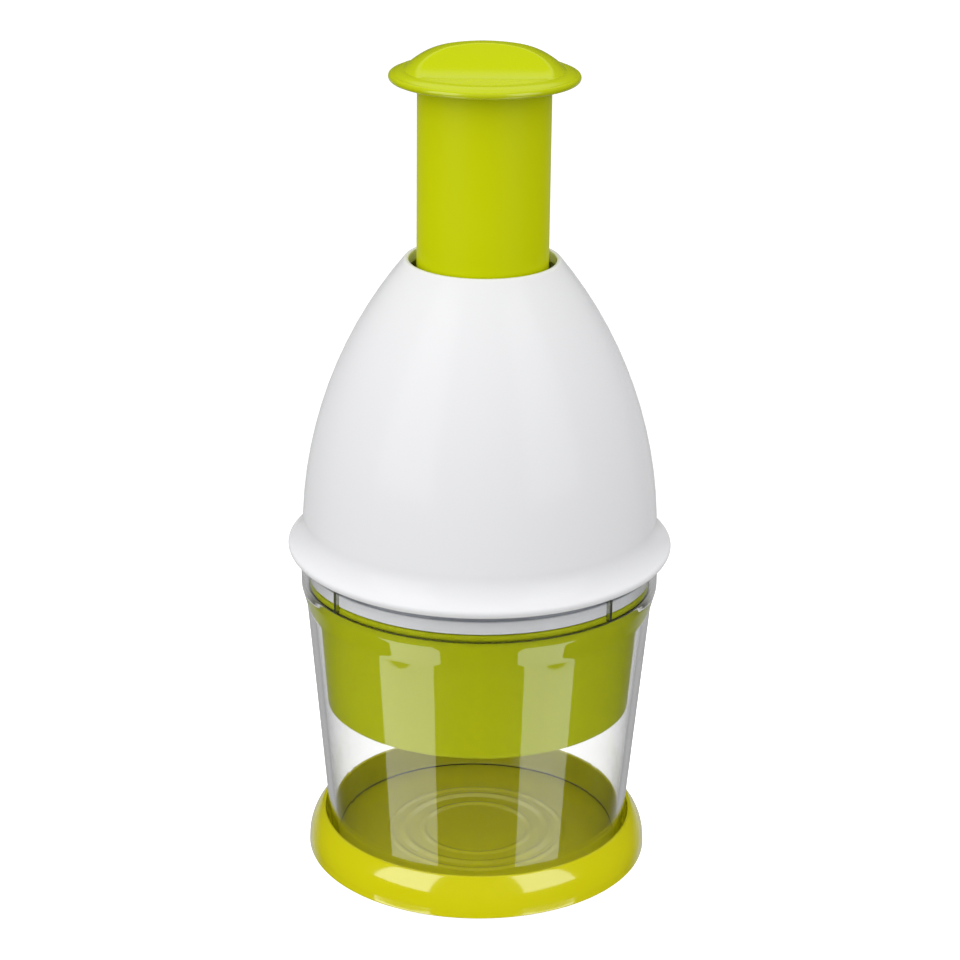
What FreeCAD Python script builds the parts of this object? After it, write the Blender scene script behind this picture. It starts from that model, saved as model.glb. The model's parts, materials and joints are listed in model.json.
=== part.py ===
"""Plunger food chopper: base tray, clear cup, bell housing with a sprung plunger, and turning blades.

Millimetres, +Z up, origin at the centre of the base tray's underside.
"""
import FreeCAD, Part

import math
import os

import Sketcher
from FreeCAD import Placement, Rotation, Vector

Z_AXIS = Vector(0, 0, 1)

SIZES = {
    # base tray
    "tray_foot_radius": 45.9,
    "tray_radius": 45.8,
    "tray_widest_z": 1.4,
    "tray_wall_arc": 12.5,
    "tray_crest_outer": 42.2,
    "tray_crest_inner": 41.4,
    "tray_crest_z": 10.4,
    "tray_seat_radius": 40.1,
    "tray_floor_z": 3.0,
    "tray_recess_radius": 42.6,
    "tray_recess_depth": 0.8,
    "tray_ring_large": 24.0,
    "tray_ring_middle": 20.3,
    "tray_ring_small": 15.0,
    "tray_ring_rise": 0.5,
    "tray_ring_width": 0.9,
    "tray_ring_sink": 0.2,
    "tray_crest_round": 0.45,
    "tray_foot_round": 0.4,
    # clear cup
    "cup_bottom_z": 3.1,
    "cup_bottom_radius": 39.7,
    "cup_shoulder_z": 71.8,
    "cup_shoulder_radius": 45.8,
    "cup_wall": 1.8,
    "collar_bottom_z": 77.0,
    "collar_radius": 47.2,
    "collar_bore": 45.4,
    "collar_top_z": 85.6,
    "ledge_z": 78.4,
    "ledge_bore": 44.1,
    "key_half_width": 0.5,
    "key_depth": 1.2,
    "key_top_z": 84.6,
    "key_root": 0.8,
    "key_sink": 0.2,
    "key_turn_left": 127.5,     # degrees about Z, from +Y
    "key_turn_right": 226.5,
    "notch_half_width": 1.0,
    "notch_margin": 0.6,
    "cup_shoulder_round": 5.0,
    "collar_round": 4.0,
    "cup_rim_round": 0.7,
    "cup_bottom_round": 0.8,
    # bell housing
    "bell_arc": 117.0,
    "bell_foot_radius": 46.6,
    "bell_foot_z": 96.7,
    "bell_lip_radius": 20.0,
    "bell_lip_z": 165.4,
    "bell_wall": 2.2,
    "bell_bore": 18.9,
    "bell_bore_z": 162.6,
    "flange_radius": 50.8,
    "flange_edge_z": 88.6,
    "flange_bottom_radius": 49.8,
    "flange_bottom_z": 86.4,
    "flange_blend": 9.5,
    "flange_inner_z": 91.0,
    "flange_round": 0.9,
    "bell_lip_round": 0.6,
    "skirt_radius": 44.9,
    "skirt_bore": 43.1,
    "skirt_bottom_z": 80.5,
    "boss_circle": 40.6,
    "boss_radius": 3.8,
    "boss_top_z": 109.6,
    "boss_gap": 0.1,
    # guide tube with its deck
    "deck_bottom_z": 96.0,
    "deck_top_z": 98.5,
    "deck_radius": 43.5,
    "guide_radius": 14.6,
    "guide_bore": 12.8,
    "guide_top_z": 158.0,
    "guide_root_round": 1.5,
    "guide_mouth_round": 0.5,
    "nut_bore_radius": 7.6,
    # index nut
    "nut_radius": 7.5,
    "nut_flange_radius": 10.0,
    "nut_flange_bottom_z": 94.4,
    "nut_flange_top_z": 95.9,
    "nut_clearance": 0.15,
    "nut_flat_clearance": 0.25,
    # blade sleeve
    "sleeve_bottom_z": 43.6,
    "sleeve_bottom_radius": 40.5,
    "sleeve_shoulder_z": 78.6,
    "sleeve_shoulder_radius": 43.2,
    "sleeve_wall": 1.8,
    "sleeve_flange_radius": 44.9,
    "sleeve_flange_top_z": 80.2,
    "sleeve_top_z": 88.0,
    "sleeve_top_radius": 42.8,
    "sleeve_lip_radius": 36.5,
    "sleeve_lip_top_z": 44.7,
    "sleeve_notch_radius": 43.1,
    "sleeve_bottom_round": 1.2,
    "sleeve_flange_round": 0.4,
    # wiper disc and its snap ring
    "wiper_bottom_z": 45.0,
    "wiper_top_z": 47.0,
    "wiper_radius": 38.2,
    "wiper_slot_gap": 0.4,
    "snap_ring_bottom_z": 47.3,
    "snap_ring_top_z": 48.3,
    "snap_ring_radius": 38.9,
    "snap_ring_bore": 36.9,
    # return spring
    "spring_radius": 9.0,
    "spring_wire": 1.2,
    "spring_turns": 14.0,
    # plunger tube and knob
    "tube_radius": 16.9,
    "tube_bore": 15.1,
    "tube_bottom_z": 142.0,
    "tube_top_z": 211.1,
    "tube_mouth_round": 0.5,
    "web_bottom_z": 203.0,
    "web_top_z": 206.0,
    "web_bore": 4.9,
    "knob_edge_radius": 23.15,
    "knob_edge_z": 212.25,
    "knob_edge_round": 0.95,
    "knob_brim_radius": 20.3,
    "knob_brim_z": 214.1,
    "knob_brim_arc": 6.0,
    "knob_brow_radius": 9.0,
    "knob_brow_z": 219.9,
    "knob_brow_arc": 24.0,
    "knob_crown_z": 220.9,
    "knob_crown_arc": 43.0,
    "knob_cap_radius": 2.0,
    "knob_spigot_radius": 15.0,
    "knob_spigot_z": 206.1,
    "knob_hollow_radius": 9.5,
    "knob_hollow_z": 211.5,
    "knob_pilot_depth": 4.0,
    "scoop_inner": 2.7,
    "scoop_inner_z": 220.1,
    "scoop_outer": 11.0,
    "scoop_arc": 23.0,
    # fasteners and small parts at the top of the plunger
    "knob_screw_circle": 12.5,
    "screw_shank": 1.3,
    "screw_head": 2.3,
    "screw_head_rise": 1.6,
    "screw_crown_round": 0.6,
    "screw_clearance": 0.1,
    "recess_depth": 0.7,
    "recess_reach": 1.3,
    "recess_half_width": 0.3,
    "deck_screw_length": 8.0,
    "knob_screw_length": 6.0,
    "spring_cap_radius": 10.1,
    "spring_cap_bottom_z": 200.6,
    "spring_cap_bore": 5.3,
    "spring_cap_lip_radius": 7.7,
    "spring_cap_lip_z": 199.2,
    "bearing_radius": 4.8,
    "bearing_bore": 3.06,
    "bearing_bottom_z": 202.8,
    "bearing_flange_radius": 6.4,
    "bearing_flange_top_z": 206.8,
    "washer_bottom_z": 206.95,
    "washer_top_z": 207.75,
    "washer_radius": 6.2,
    "washer_bore": 3.1,
    "clip_bottom_z": 207.9,
    "clip_top_z": 208.7,
    "clip_radius": 5.0,
    "clip_seat": 2.4,
    "clip_gap_half": 1.5,
    "clip_gap_inner": 1.2,
    # push rod
    "rod_radius": 4.0,
    "rod_flat": 3.0,
    "rod_bottom_z": 88.8,
    "rod_twist_top_z": 146.0,
    "rod_shoulder_z": 202.5,
    "rod_journal": 3.0,
    "rod_top_z": 209.8,
    # blades and what carries them
    "travel": 41.0,
    "turn_per_press": 30.0,
    "hub_radius": 12.0,
    "hub_bore": 4.02,
    "hub_top_z": 92.8,
    "hub_screw_head_rise": 1.2,
    "hub_screw_length": 3.6,
    "carrier_radius": 36.0,
    "carrier_bore": 4.1,
    "carrier_top_z": 91.2,
    "carrier_bottom_z": 88.8,
    "hub_screw_circle": 8.3,
    "blade_top_z": 88.7,
    "blade_bottom_z": 46.3,
    "blade_sheet": 0.7,
    "blade_outer": 34.0,
    "blade_inner": 10.0,
    "blade_end_gap": 3.2,
    # how far a cutting tool reaches past what it cuts
    "cut_over": 1.0,
}

KEYS = 2            # each rib and notch at the front has its like at the back
SCREWS = 3          # bosses, screws and their holes repeat three times round
BLADES = 3
BLADE_VERTICES = 5  # inner, outer, inner, outer, inner
SCOOPS = 2          # one at the front of the knob, one at the back

doc = FreeCAD.newDocument("FoodChopper")
sheet = doc.addObject("Spreadsheet::Sheet", "Sizes")
for row, (alias, size) in enumerate(SIZES.items(), start=1):
    sheet.set("A%d" % row, alias.replace("_", " "))
    sheet.set("B%d" % row, str(size))
    sheet.setAlias("B%d" % row, alias)
doc.recompute()


# ---------------------------------------------------------------- sizes and expressions

def words(expression):
    """A sum such as 'cup_bottom_radius - cup_wall', split into its words."""
    return str(expression).split()


def number(expression):
    """The value in millimetres of a sum of named sizes and plain numbers."""
    total = 0.0
    sign = 1
    for word in words(expression):
        if word in ("+", "-"):
            sign = 1 if word == "+" else -1
        else:
            total += sign * (float(sheet.get(word)) if word in SIZES else float(word))
    return total


def bound(expression):
    """The same sum, written for setExpression."""
    return " ".join("Sizes." + word if word in SIZES else word for word in words(expression))


# ---------------------------------------------------------------- part design helpers

def new_body(label):
    body = doc.addObject("PartDesign::Body", label)
    body.Label = label
    return body


def origin_part(body, role):
    """One of the body's own origin planes or axes."""
    return next(item for item in body.Origin.OriginFeatures if item.Role == role)


def new_sketch(body, name, role="XZ_Plane", height=None, turn="0"):
    sketch = body.newObject("Sketcher::SketchObject", name)
    sketch.AttachmentSupport = [(origin_part(body, role), "")]
    sketch.MapMode = "FlatFace"
    if height is not None:
        sketch.AttachmentOffset = Placement(Vector(0, 0, number(height)), Rotation(Z_AXIS, number(turn)))
        sketch.setExpression("AttachmentOffset.Base.z", bound(height))
        sketch.setExpression("AttachmentOffset.Rotation.Angle", bound(turn))
    return sketch


def arc_between(start, end, radius):
    """Arc from start to end; a positive radius turns left on the way, a negative one right."""
    chord = end - start
    half = chord.Length / 2
    left = Vector(-chord.y, chord.x, 0).normalize()
    side = 1 if radius > 0 else -1
    centre = (start + end) / 2 + left * side * math.sqrt(max(radius ** 2 - half ** 2, 0.0))
    first, last = (start, end) if radius > 0 else (end, start)
    angle_first = math.atan2(first.y - centre.y, first.x - centre.x)
    angle_last = math.atan2(last.y - centre.y, last.x - centre.x)
    circle = Part.Circle(centre, Z_AXIS, abs(radius))
    return Part.ArcOfCircle(circle, angle_first, angle_last)


def pin_point(sketch, edge, end, axis, expression):
    """Hold one coordinate of a vertex at a size of the sheet."""
    if number(expression) == 0:
        sketch.addConstraint(Sketcher.Constraint("PointOnObject", edge, end, -2 if axis == "X" else -1))
        return
    kind = "Distance" + axis
    index = sketch.addConstraint(Sketcher.Constraint(kind, -1, 1, edge, end, number(expression)))
    sketch.setExpression("Constraints[%d]" % index, bound(expression))


def outline(sketch, corners):
    """Closed outline. A corner is (x, y), or (x, y, radius) when an arc leads on from it."""
    points = [Vector(number(corner[0]), number(corner[1]), 0) for corner in corners]
    starts = []
    ends = []
    for index, corner in enumerate(corners):
        here = points[index]
        there = points[(index + 1) % len(points)]
        radius = number(corner[2]) if len(corner) > 2 else 0
        if radius:
            edge = sketch.addGeometry(arc_between(here, there, radius), False)
            held = sketch.addConstraint(Sketcher.Constraint("Radius", edge, abs(radius)))
            sign = "" if radius > 0 else "-1 * "
            sketch.setExpression("Constraints[%d]" % held, sign + "(" + bound(corner[2]) + ")")
            starts.append((edge, 1 if radius > 0 else 2))
            ends.append((edge, 2 if radius > 0 else 1))
        else:
            edge = sketch.addGeometry(Part.LineSegment(here, there), False)
            starts.append((edge, 1))
            ends.append((edge, 2))
    for index, corner in enumerate(corners):
        sketch.addConstraint(Sketcher.Constraint("Coincident", *ends[index - 1], *starts[index]))
        pin_point(sketch, *starts[index], "X", corner[0])
        pin_point(sketch, *starts[index], "Y", corner[1])
    return sketch


def circle(sketch, x, y, radius):
    """Full circle, centred on a point of the sheet."""
    centre = Vector(number(x), number(y), 0)
    edge = sketch.addGeometry(Part.Circle(centre, Z_AXIS, number(radius)), False)
    held = sketch.addConstraint(Sketcher.Constraint("Radius", edge, number(radius)))
    sketch.setExpression("Constraints[%d]" % held, bound(radius))
    pin_point(sketch, edge, 3, "X", x)
    pin_point(sketch, edge, 3, "Y", y)
    return sketch


def turned(body, name, corners, kind="PartDesign::Revolution"):
    """Turn an outline of (radius, height) corners about Z, to add it or to cut it."""
    sketch = outline(new_sketch(body, name + "_outline"), corners)
    feature = body.newObject(kind, name)
    feature.Profile = sketch
    feature.ReferenceAxis = (sketch, ["V_Axis"])
    feature.Angle = 360.0
    doc.recompute()
    return feature


def turned_cut(body, name, corners):
    volume = body.Shape.Volume
    feature = turned(body, name, corners, "PartDesign::Groove")
    require(body.Shape.Volume < volume - 0.01, "%s cuts nothing" % name)
    return feature


def straight(body, name, sketch, length, kind="PartDesign::Pad", back=False, both=False):
    """Pad or pocket a sketch by a length of the sheet."""
    before = body.Shape.Volume if body.Tip else 0.0
    feature = body.newObject(kind, name)
    feature.Profile = sketch
    feature.Length = number(length)
    feature.setExpression("Length", bound(length))
    feature.Reversed = back
    feature.Midplane = both
    doc.recompute()
    changed = body.Shape.Volume - before
    require(changed > 0.01 if kind == "PartDesign::Pad" else changed < -0.01, "%s changes nothing" % name)
    return feature


def around(body, name, feature, count):
    """Repeat a feature evenly round Z."""
    pattern = body.newObject("PartDesign::PolarPattern", name)
    pattern.Originals = [feature]
    pattern.Axis = (origin_part(body, "Z_Axis"), [""])
    pattern.Angle = 360.0
    pattern.Occurrences = count
    body.Tip = pattern
    doc.recompute()
    return pattern


def rounded(body, name, radius, rings):
    """Fillet the circular edges that lie at the given (radius, height) pairs."""
    base = body.Tip
    edges = []
    for ring_radius, ring_height in rings:
        for index, edge in enumerate(base.Shape.Edges, start=1):
            curve = edge.Curve
            if not isinstance(curve, Part.Circle) or abs(curve.Center.x) > 0.01:
                continue
            near = abs(curve.Radius - number(ring_radius)) < 0.01
            if near and abs(curve.Center.z - number(ring_height)) < 0.01:
                edges.append("Edge%d" % index)
    require(edges, "%s finds no edge" % name)
    fillet = body.newObject("PartDesign::Fillet", name)
    fillet.Base = (base, edges)
    fillet.Radius = number(radius)
    fillet.setExpression("Radius", bound(radius))
    doc.recompute()
    return fillet


def require(condition, message):
    if not condition:
        raise RuntimeError(message)


def ring_corners(inner, outer, low, high):
    return [(inner, low), (outer, low), (outer, high), (inner, high)]


def copies_around(label, count, shape):
    """One node that holds equal solids, spaced evenly round Z."""
    solids = []
    for index in range(count):
        solid = shape.copy()
        solid.rotate(Vector(0, 0, 0), Z_AXIS, 360.0 * index / count)
        solids.append(solid)
    node = doc.addObject("Part::Feature", label)
    node.Label = label
    node.Shape = Part.makeCompound(solids)
    return node


# ---------------------------------------------------------------- base and cup

def base_tray():
    body = new_body("base_tray")
    turned(body, "tray", [
        ("0", "0"),
        ("tray_foot_radius", "0"),
        ("tray_radius", "tray_widest_z", "tray_wall_arc"),
        ("tray_crest_outer", "tray_crest_z"),
        ("tray_crest_inner", "tray_crest_z"),
        ("tray_seat_radius", "tray_floor_z"),
        ("0", "tray_floor_z"),
    ])
    turned_cut(body, "foot_recess", ring_corners("0", "tray_recess_radius", "0", "tray_recess_depth"))
    for name in ("large", "middle", "small"):
        ring = "tray_ring_" + name
        turned(body, "floor_ring_" + name, ring_corners(
            ring + " - tray_ring_width", ring,
            "tray_floor_z - tray_ring_sink", "tray_floor_z + tray_ring_rise"))
    rounded(body, "crest_round", "tray_crest_round", [("tray_crest_outer", "tray_crest_z")])
    rounded(body, "foot_round", "tray_foot_round", [("tray_foot_radius", "0")])
    return body


def clear_cup():
    body = new_body("clear_cup")
    turned(body, "wall", [
        ("cup_bottom_radius - cup_wall", "cup_bottom_z"),
        ("cup_bottom_radius", "cup_bottom_z"),
        ("cup_shoulder_radius", "cup_shoulder_z"),
        ("collar_radius", "collar_bottom_z"),
        ("collar_radius", "collar_top_z"),
        ("collar_bore", "collar_top_z"),
        ("collar_bore", "ledge_z"),
        ("ledge_bore", "ledge_z"),
        ("cup_shoulder_radius - cup_wall", "cup_shoulder_z"),
    ])
    rounded(body, "shoulder_round", "cup_shoulder_round", [("cup_shoulder_radius", "cup_shoulder_z")])
    rounded(body, "collar_round", "collar_round", [("collar_radius", "collar_bottom_z")])
    rounded(body, "rim_round", "cup_rim_round", [
        ("collar_radius", "collar_top_z"),
        ("collar_bore", "collar_top_z")])
    rounded(body, "bottom_round", "cup_bottom_round", [("cup_bottom_radius", "cup_bottom_z")])
    for side in ("left", "right"):
        key = new_sketch(body, "key_outline_" + side, "XY_Plane", "ledge_z - key_sink", "key_turn_" + side)
        outline(key, [
            ("0 - key_half_width", "collar_bore - key_depth"),
            ("key_half_width", "collar_bore - key_depth"),
            ("key_half_width", "collar_bore + key_root"),
            ("0 - key_half_width", "collar_bore + key_root"),
        ])
        rib = straight(body, "key_" + side, key, "key_top_z - ledge_z + key_sink")
        around(body, "keys_" + side, rib, KEYS)
    return body


# ---------------------------------------------------------------- head

def cut_key_notches(body, inner, outer, low, high):
    """Notches that let a shell slide down over the cup's keys."""
    for side in ("left", "right"):
        notch = new_sketch(body, "notch_outline_" + side, "XY_Plane", low, "key_turn_" + side)
        outline(notch, [
            ("0 - notch_half_width", inner),
            ("notch_half_width", inner),
            ("notch_half_width", outer),
            ("0 - notch_half_width", outer),
        ])
        cut = straight(body, "notch_" + side, notch, high + " - " + low, "PartDesign::Pocket", back=True)
        around(body, "notches_" + side, cut, KEYS)


def bell_housing():
    body = new_body("bell_housing")
    turned(body, "bell", [
        ("skirt_bore", "skirt_bottom_z"),
        ("skirt_radius", "skirt_bottom_z"),
        ("skirt_radius", "flange_bottom_z"),
        ("flange_bottom_radius", "flange_bottom_z"),
        ("flange_radius", "flange_edge_z", "0 - flange_blend"),
        ("bell_foot_radius", "bell_foot_z", "bell_arc"),
        ("bell_lip_radius", "bell_lip_z"),
        ("bell_bore", "bell_lip_z"),
        ("bell_bore", "bell_bore_z", "0 - bell_arc + bell_wall"),
        ("bell_foot_radius - bell_wall", "bell_foot_z"),
        ("skirt_bore", "flange_inner_z"),
    ])
    rounded(body, "lip_round", "bell_lip_round", [
        ("bell_lip_radius", "bell_lip_z"),
        ("bell_bore", "bell_lip_z")])
    rounded(body, "flange_round", "flange_round", [
        ("flange_radius", "flange_edge_z"),
        ("flange_bottom_radius", "flange_bottom_z")])
    boss = circle(new_sketch(body, "boss_outline", "XY_Plane", "deck_top_z + boss_gap"),
                  "0", "0 - boss_circle", "boss_radius")
    post = straight(body, "boss", boss, "boss_top_z - deck_top_z - boss_gap")
    around(body, "bosses", post, SCREWS)
    hole = circle(new_sketch(body, "pilot_outline", "XY_Plane", "deck_top_z + boss_gap"),
                  "0", "0 - boss_circle", "screw_shank")
    pilot = straight(body, "pilot", hole, "deck_screw_length", "PartDesign::Pocket", back=True)
    around(body, "pilots", pilot, SCREWS)
    cut_key_notches(body, "skirt_bore - notch_margin", "skirt_radius + notch_margin",
                    "skirt_bottom_z", "flange_bottom_z")
    return body


def guide_tube():
    body = new_body("guide_tube")
    turned(body, "deck_and_tube", [
        ("nut_bore_radius", "deck_bottom_z"),
        ("deck_radius", "deck_bottom_z"),
        ("deck_radius", "deck_top_z"),
        ("guide_radius", "deck_top_z"),
        ("guide_radius", "guide_top_z"),
        ("guide_bore", "guide_top_z"),
        ("guide_bore", "deck_top_z"),
        ("nut_bore_radius", "deck_top_z"),
    ])
    rounded(body, "root_round", "guide_root_round", [("guide_radius", "deck_top_z")])
    rounded(body, "mouth_round", "guide_mouth_round", [
        ("guide_radius", "guide_top_z"),
        ("guide_bore", "guide_top_z")])
    hole = circle(new_sketch(body, "screw_hole_outline", "XY_Plane", "deck_bottom_z"),
                  "0", "0 - boss_circle", "screw_shank + screw_clearance")
    clearance = straight(body, "screw_hole", hole, "deck_top_z - deck_bottom_z",
                         "PartDesign::Pocket", back=True)
    around(body, "screw_holes", clearance, SCREWS)
    return body


def flatted_wire(radius, flat):
    """Outline of a disc of the given radius with two flats, in the XY plane."""
    half = math.sqrt(radius ** 2 - flat ** 2)
    corners = [Vector(half, flat, 0), Vector(-half, flat, 0), Vector(-half, -flat, 0), Vector(half, -flat, 0)]
    edges = [
        Part.makeLine(corners[0], corners[1]),
        Part.Arc(corners[1], Vector(-radius, 0, 0), corners[2]).toShape(),
        Part.makeLine(corners[2], corners[3]),
        Part.Arc(corners[3], Vector(radius, 0, 0), corners[0]).toShape(),
    ]
    return Part.Wire(edges)


def index_nut():
    """Flanged nut with a flatted bore; the twisted rod turns as it passes through."""
    body = new_body("nut_blank")
    turned(body, "blank", [
        ("0", "nut_flange_bottom_z"),
        ("nut_flange_radius", "nut_flange_bottom_z"),
        ("nut_flange_radius", "nut_flange_top_z"),
        ("nut_radius", "nut_flange_top_z"),
        ("nut_radius", "deck_top_z"),
        ("0", "deck_top_z"),
    ])
    bore = Part.Face(flatted_wire(
        number("rod_radius + nut_clearance"),
        number("rod_flat + nut_flat_clearance")))
    bore.translate(Vector(0, 0, number("nut_flange_bottom_z - cut_over")))
    cutter = bore.extrude(Vector(0, 0, number("deck_top_z - nut_flange_bottom_z + cut_over + cut_over")))
    tool = doc.addObject("Part::Feature", "nut_bore")
    tool.Shape = cutter
    nut = doc.addObject("Part::Cut", "index_nut")
    nut.Label = "index_nut"
    nut.Base = body
    nut.Tool = tool
    doc.recompute()
    return nut


def blade_sleeve():
    body = new_body("blade_sleeve")
    turned(body, "sleeve", [
        ("sleeve_lip_radius", "sleeve_bottom_z"),
        ("sleeve_bottom_radius", "sleeve_bottom_z"),
        ("sleeve_shoulder_radius", "sleeve_shoulder_z"),
        ("sleeve_flange_radius", "sleeve_shoulder_z"),
        ("sleeve_flange_radius", "sleeve_flange_top_z"),
        ("sleeve_top_radius", "sleeve_flange_top_z"),
        ("sleeve_top_radius", "sleeve_top_z"),
        ("sleeve_top_radius - sleeve_wall", "sleeve_top_z"),
        ("sleeve_shoulder_radius - sleeve_wall", "sleeve_shoulder_z"),
        ("sleeve_bottom_radius - sleeve_wall", "sleeve_lip_top_z"),
        ("sleeve_lip_radius", "sleeve_lip_top_z"),
    ])
    rounded(body, "bottom_round", "sleeve_bottom_round", [("sleeve_bottom_radius", "sleeve_bottom_z")])
    rounded(body, "flange_round", "sleeve_flange_round", [("sleeve_flange_radius", "sleeve_flange_top_z")])
    cut_key_notches(body, "sleeve_notch_radius", "sleeve_flange_radius + notch_margin",
                    "sleeve_shoulder_z", "sleeve_flange_top_z")
    return body


def plain_ring(label, inner, outer, low, high):
    body = new_body(label)
    turned(body, "ring", ring_corners(inner, outer, low, high))
    return body


def return_spring():
    """Compression spring between the deck and the cap under the plunger's web."""
    low = number("deck_top_z + spring_wire")
    high = number("spring_cap_bottom_z - spring_wire")
    coil = doc.addObject("Part::Helix", "spring_path")
    coil.Radius = number("spring_radius")
    coil.setExpression("Radius", bound("spring_radius"))
    coil.Height = high - low
    coil.Pitch = (high - low) / number("spring_turns")
    coil.Placement = Placement(Vector(0, 0, low), Rotation())
    wire = doc.addObject("Part::Circle", "spring_section")
    wire.Radius = number("spring_wire") / 2
    wire.Placement = Placement(Vector(number("spring_radius"), 0, low), Rotation(Vector(1, 0, 0), 90))
    spring = doc.addObject("Part::Sweep", "return_spring")
    spring.Label = "return_spring"
    spring.Sections = [wire]
    spring.Spine = coil
    spring.Solid = True
    spring.Frenet = True
    doc.recompute()
    return spring


def pan_screw(circle_radius, seat, length, head_rise, side):
    """One pan-head screw at (0, -circle_radius); its head rises from the seat, up when side is 1."""
    head_rise = number(head_rise)
    recess = number("recess_depth")
    reach = number("recess_reach")
    half = number("recess_half_width")
    shank = Part.makeCylinder(number("screw_shank"), number(length), Vector(0, 0, 0), Z_AXIS * -side)
    head = Part.makeCylinder(number("screw_head"), head_rise, Vector(0, 0, 0), Z_AXIS * side)
    crown = [edge for edge in head.Edges if abs(edge.CenterOfMass.z - side * head_rise) < 0.01]
    head = head.makeFillet(number("screw_crown_round"), crown)
    screw = shank.fuse(head).removeSplitter()
    for turn in (0, 90):
        floor = side * head_rise if side < 0 else head_rise - recess
        slot = Part.makeBox(2 * reach, 2 * half, recess, Vector(-reach, -half, floor))
        slot.rotate(Vector(0, 0, 0), Z_AXIS, turn)
        screw = screw.cut(slot)
    screw.translate(Vector(0, -number(circle_radius), number(seat)))
    return screw


# ---------------------------------------------------------------- plunger

def plunger_tube():
    body = new_body("plunger_tube")
    turned(body, "tube", [
        ("tube_bore", "tube_bottom_z"),
        ("tube_radius", "tube_bottom_z"),
        ("tube_radius", "tube_top_z"),
        ("tube_bore", "tube_top_z"),
        ("tube_bore", "web_top_z"),
        ("web_bore", "web_top_z"),
        ("web_bore", "web_bottom_z"),
        ("tube_bore", "web_bottom_z"),
    ])
    rounded(body, "mouth_round", "tube_mouth_round", [
        ("tube_radius", "tube_bottom_z"),
        ("tube_bore", "tube_bottom_z")])
    hole = circle(new_sketch(body, "screw_hole_outline", "XY_Plane", "web_bottom_z"),
                  "0", "0 - knob_screw_circle", "screw_shank + screw_clearance")
    clearance = straight(body, "screw_hole", hole, "web_top_z - web_bottom_z",
                         "PartDesign::Pocket", back=True)
    around(body, "screw_holes", clearance, SCREWS)
    return body


def plunger_knob():
    """Palm button: a domed crown on a thin brim, with a broad scoop at its front and at its back."""
    body = new_body("plunger_knob")
    turned(body, "button", [
        ("0", "knob_hollow_z"),
        ("knob_hollow_radius", "knob_hollow_z"),
        ("knob_hollow_radius", "knob_spigot_z"),
        ("knob_spigot_radius", "knob_spigot_z"),
        ("knob_spigot_radius", "knob_edge_z - knob_edge_round"),
        ("knob_edge_radius", "knob_edge_z - knob_edge_round", "knob_edge_round"),
        ("knob_edge_radius + knob_edge_round", "knob_edge_z", "knob_edge_round"),
        ("knob_edge_radius", "knob_edge_z + knob_edge_round", "knob_brim_arc"),
        ("knob_brim_radius", "knob_brim_z", "knob_brow_arc"),
        ("knob_brow_radius", "knob_brow_z", "knob_crown_arc"),
        ("knob_cap_radius", "knob_crown_z"),
        ("0", "knob_crown_z"),
    ])
    scoop = new_sketch(body, "scoop_outline", "YZ_Plane")
    outline(scoop, [
        ("0 - scoop_inner", "scoop_inner_z", "scoop_arc"),
        ("0 - scoop_outer", "knob_brim_z"),
        ("0 - knob_edge_radius", "knob_brim_z"),
        ("0 - knob_edge_radius", "knob_crown_z + cut_over"),
        ("0 - scoop_inner", "knob_crown_z + cut_over"),
    ])
    cut = straight(body, "scoop", scoop, "knob_edge_radius + knob_edge_radius",
                   "PartDesign::Pocket", both=True)
    around(body, "scoops", cut, SCOOPS)
    pilot = circle(new_sketch(body, "pilot_outline", "XY_Plane", "knob_spigot_z"),
                   "0", "0 - knob_screw_circle", "screw_shank")
    hole = straight(body, "pilot", pilot, "knob_pilot_depth", "PartDesign::Pocket", back=True)
    around(body, "pilots", hole, SCREWS)
    return body


def spring_cap():
    body = new_body("spring_cap")
    turned(body, "cap", [
        ("spring_cap_bore", "spring_cap_bottom_z"),
        ("spring_cap_lip_radius", "spring_cap_lip_z"),
        ("spring_cap_lip_radius", "spring_cap_bottom_z"),
        ("spring_cap_radius", "spring_cap_bottom_z"),
        ("spring_cap_radius", "web_bottom_z"),
        ("spring_cap_bore", "web_bottom_z"),
    ])
    return body


def rod_bearing():
    body = new_body("rod_bearing")
    turned(body, "bush", [
        ("bearing_bore", "bearing_bottom_z"),
        ("bearing_radius", "bearing_bottom_z"),
        ("bearing_radius", "web_top_z"),
        ("bearing_flange_radius", "web_top_z"),
        ("bearing_flange_radius", "bearing_flange_top_z"),
        ("bearing_bore", "bearing_flange_top_z"),
    ])
    return body


# ---------------------------------------------------------------- rod, hub and blades

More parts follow.
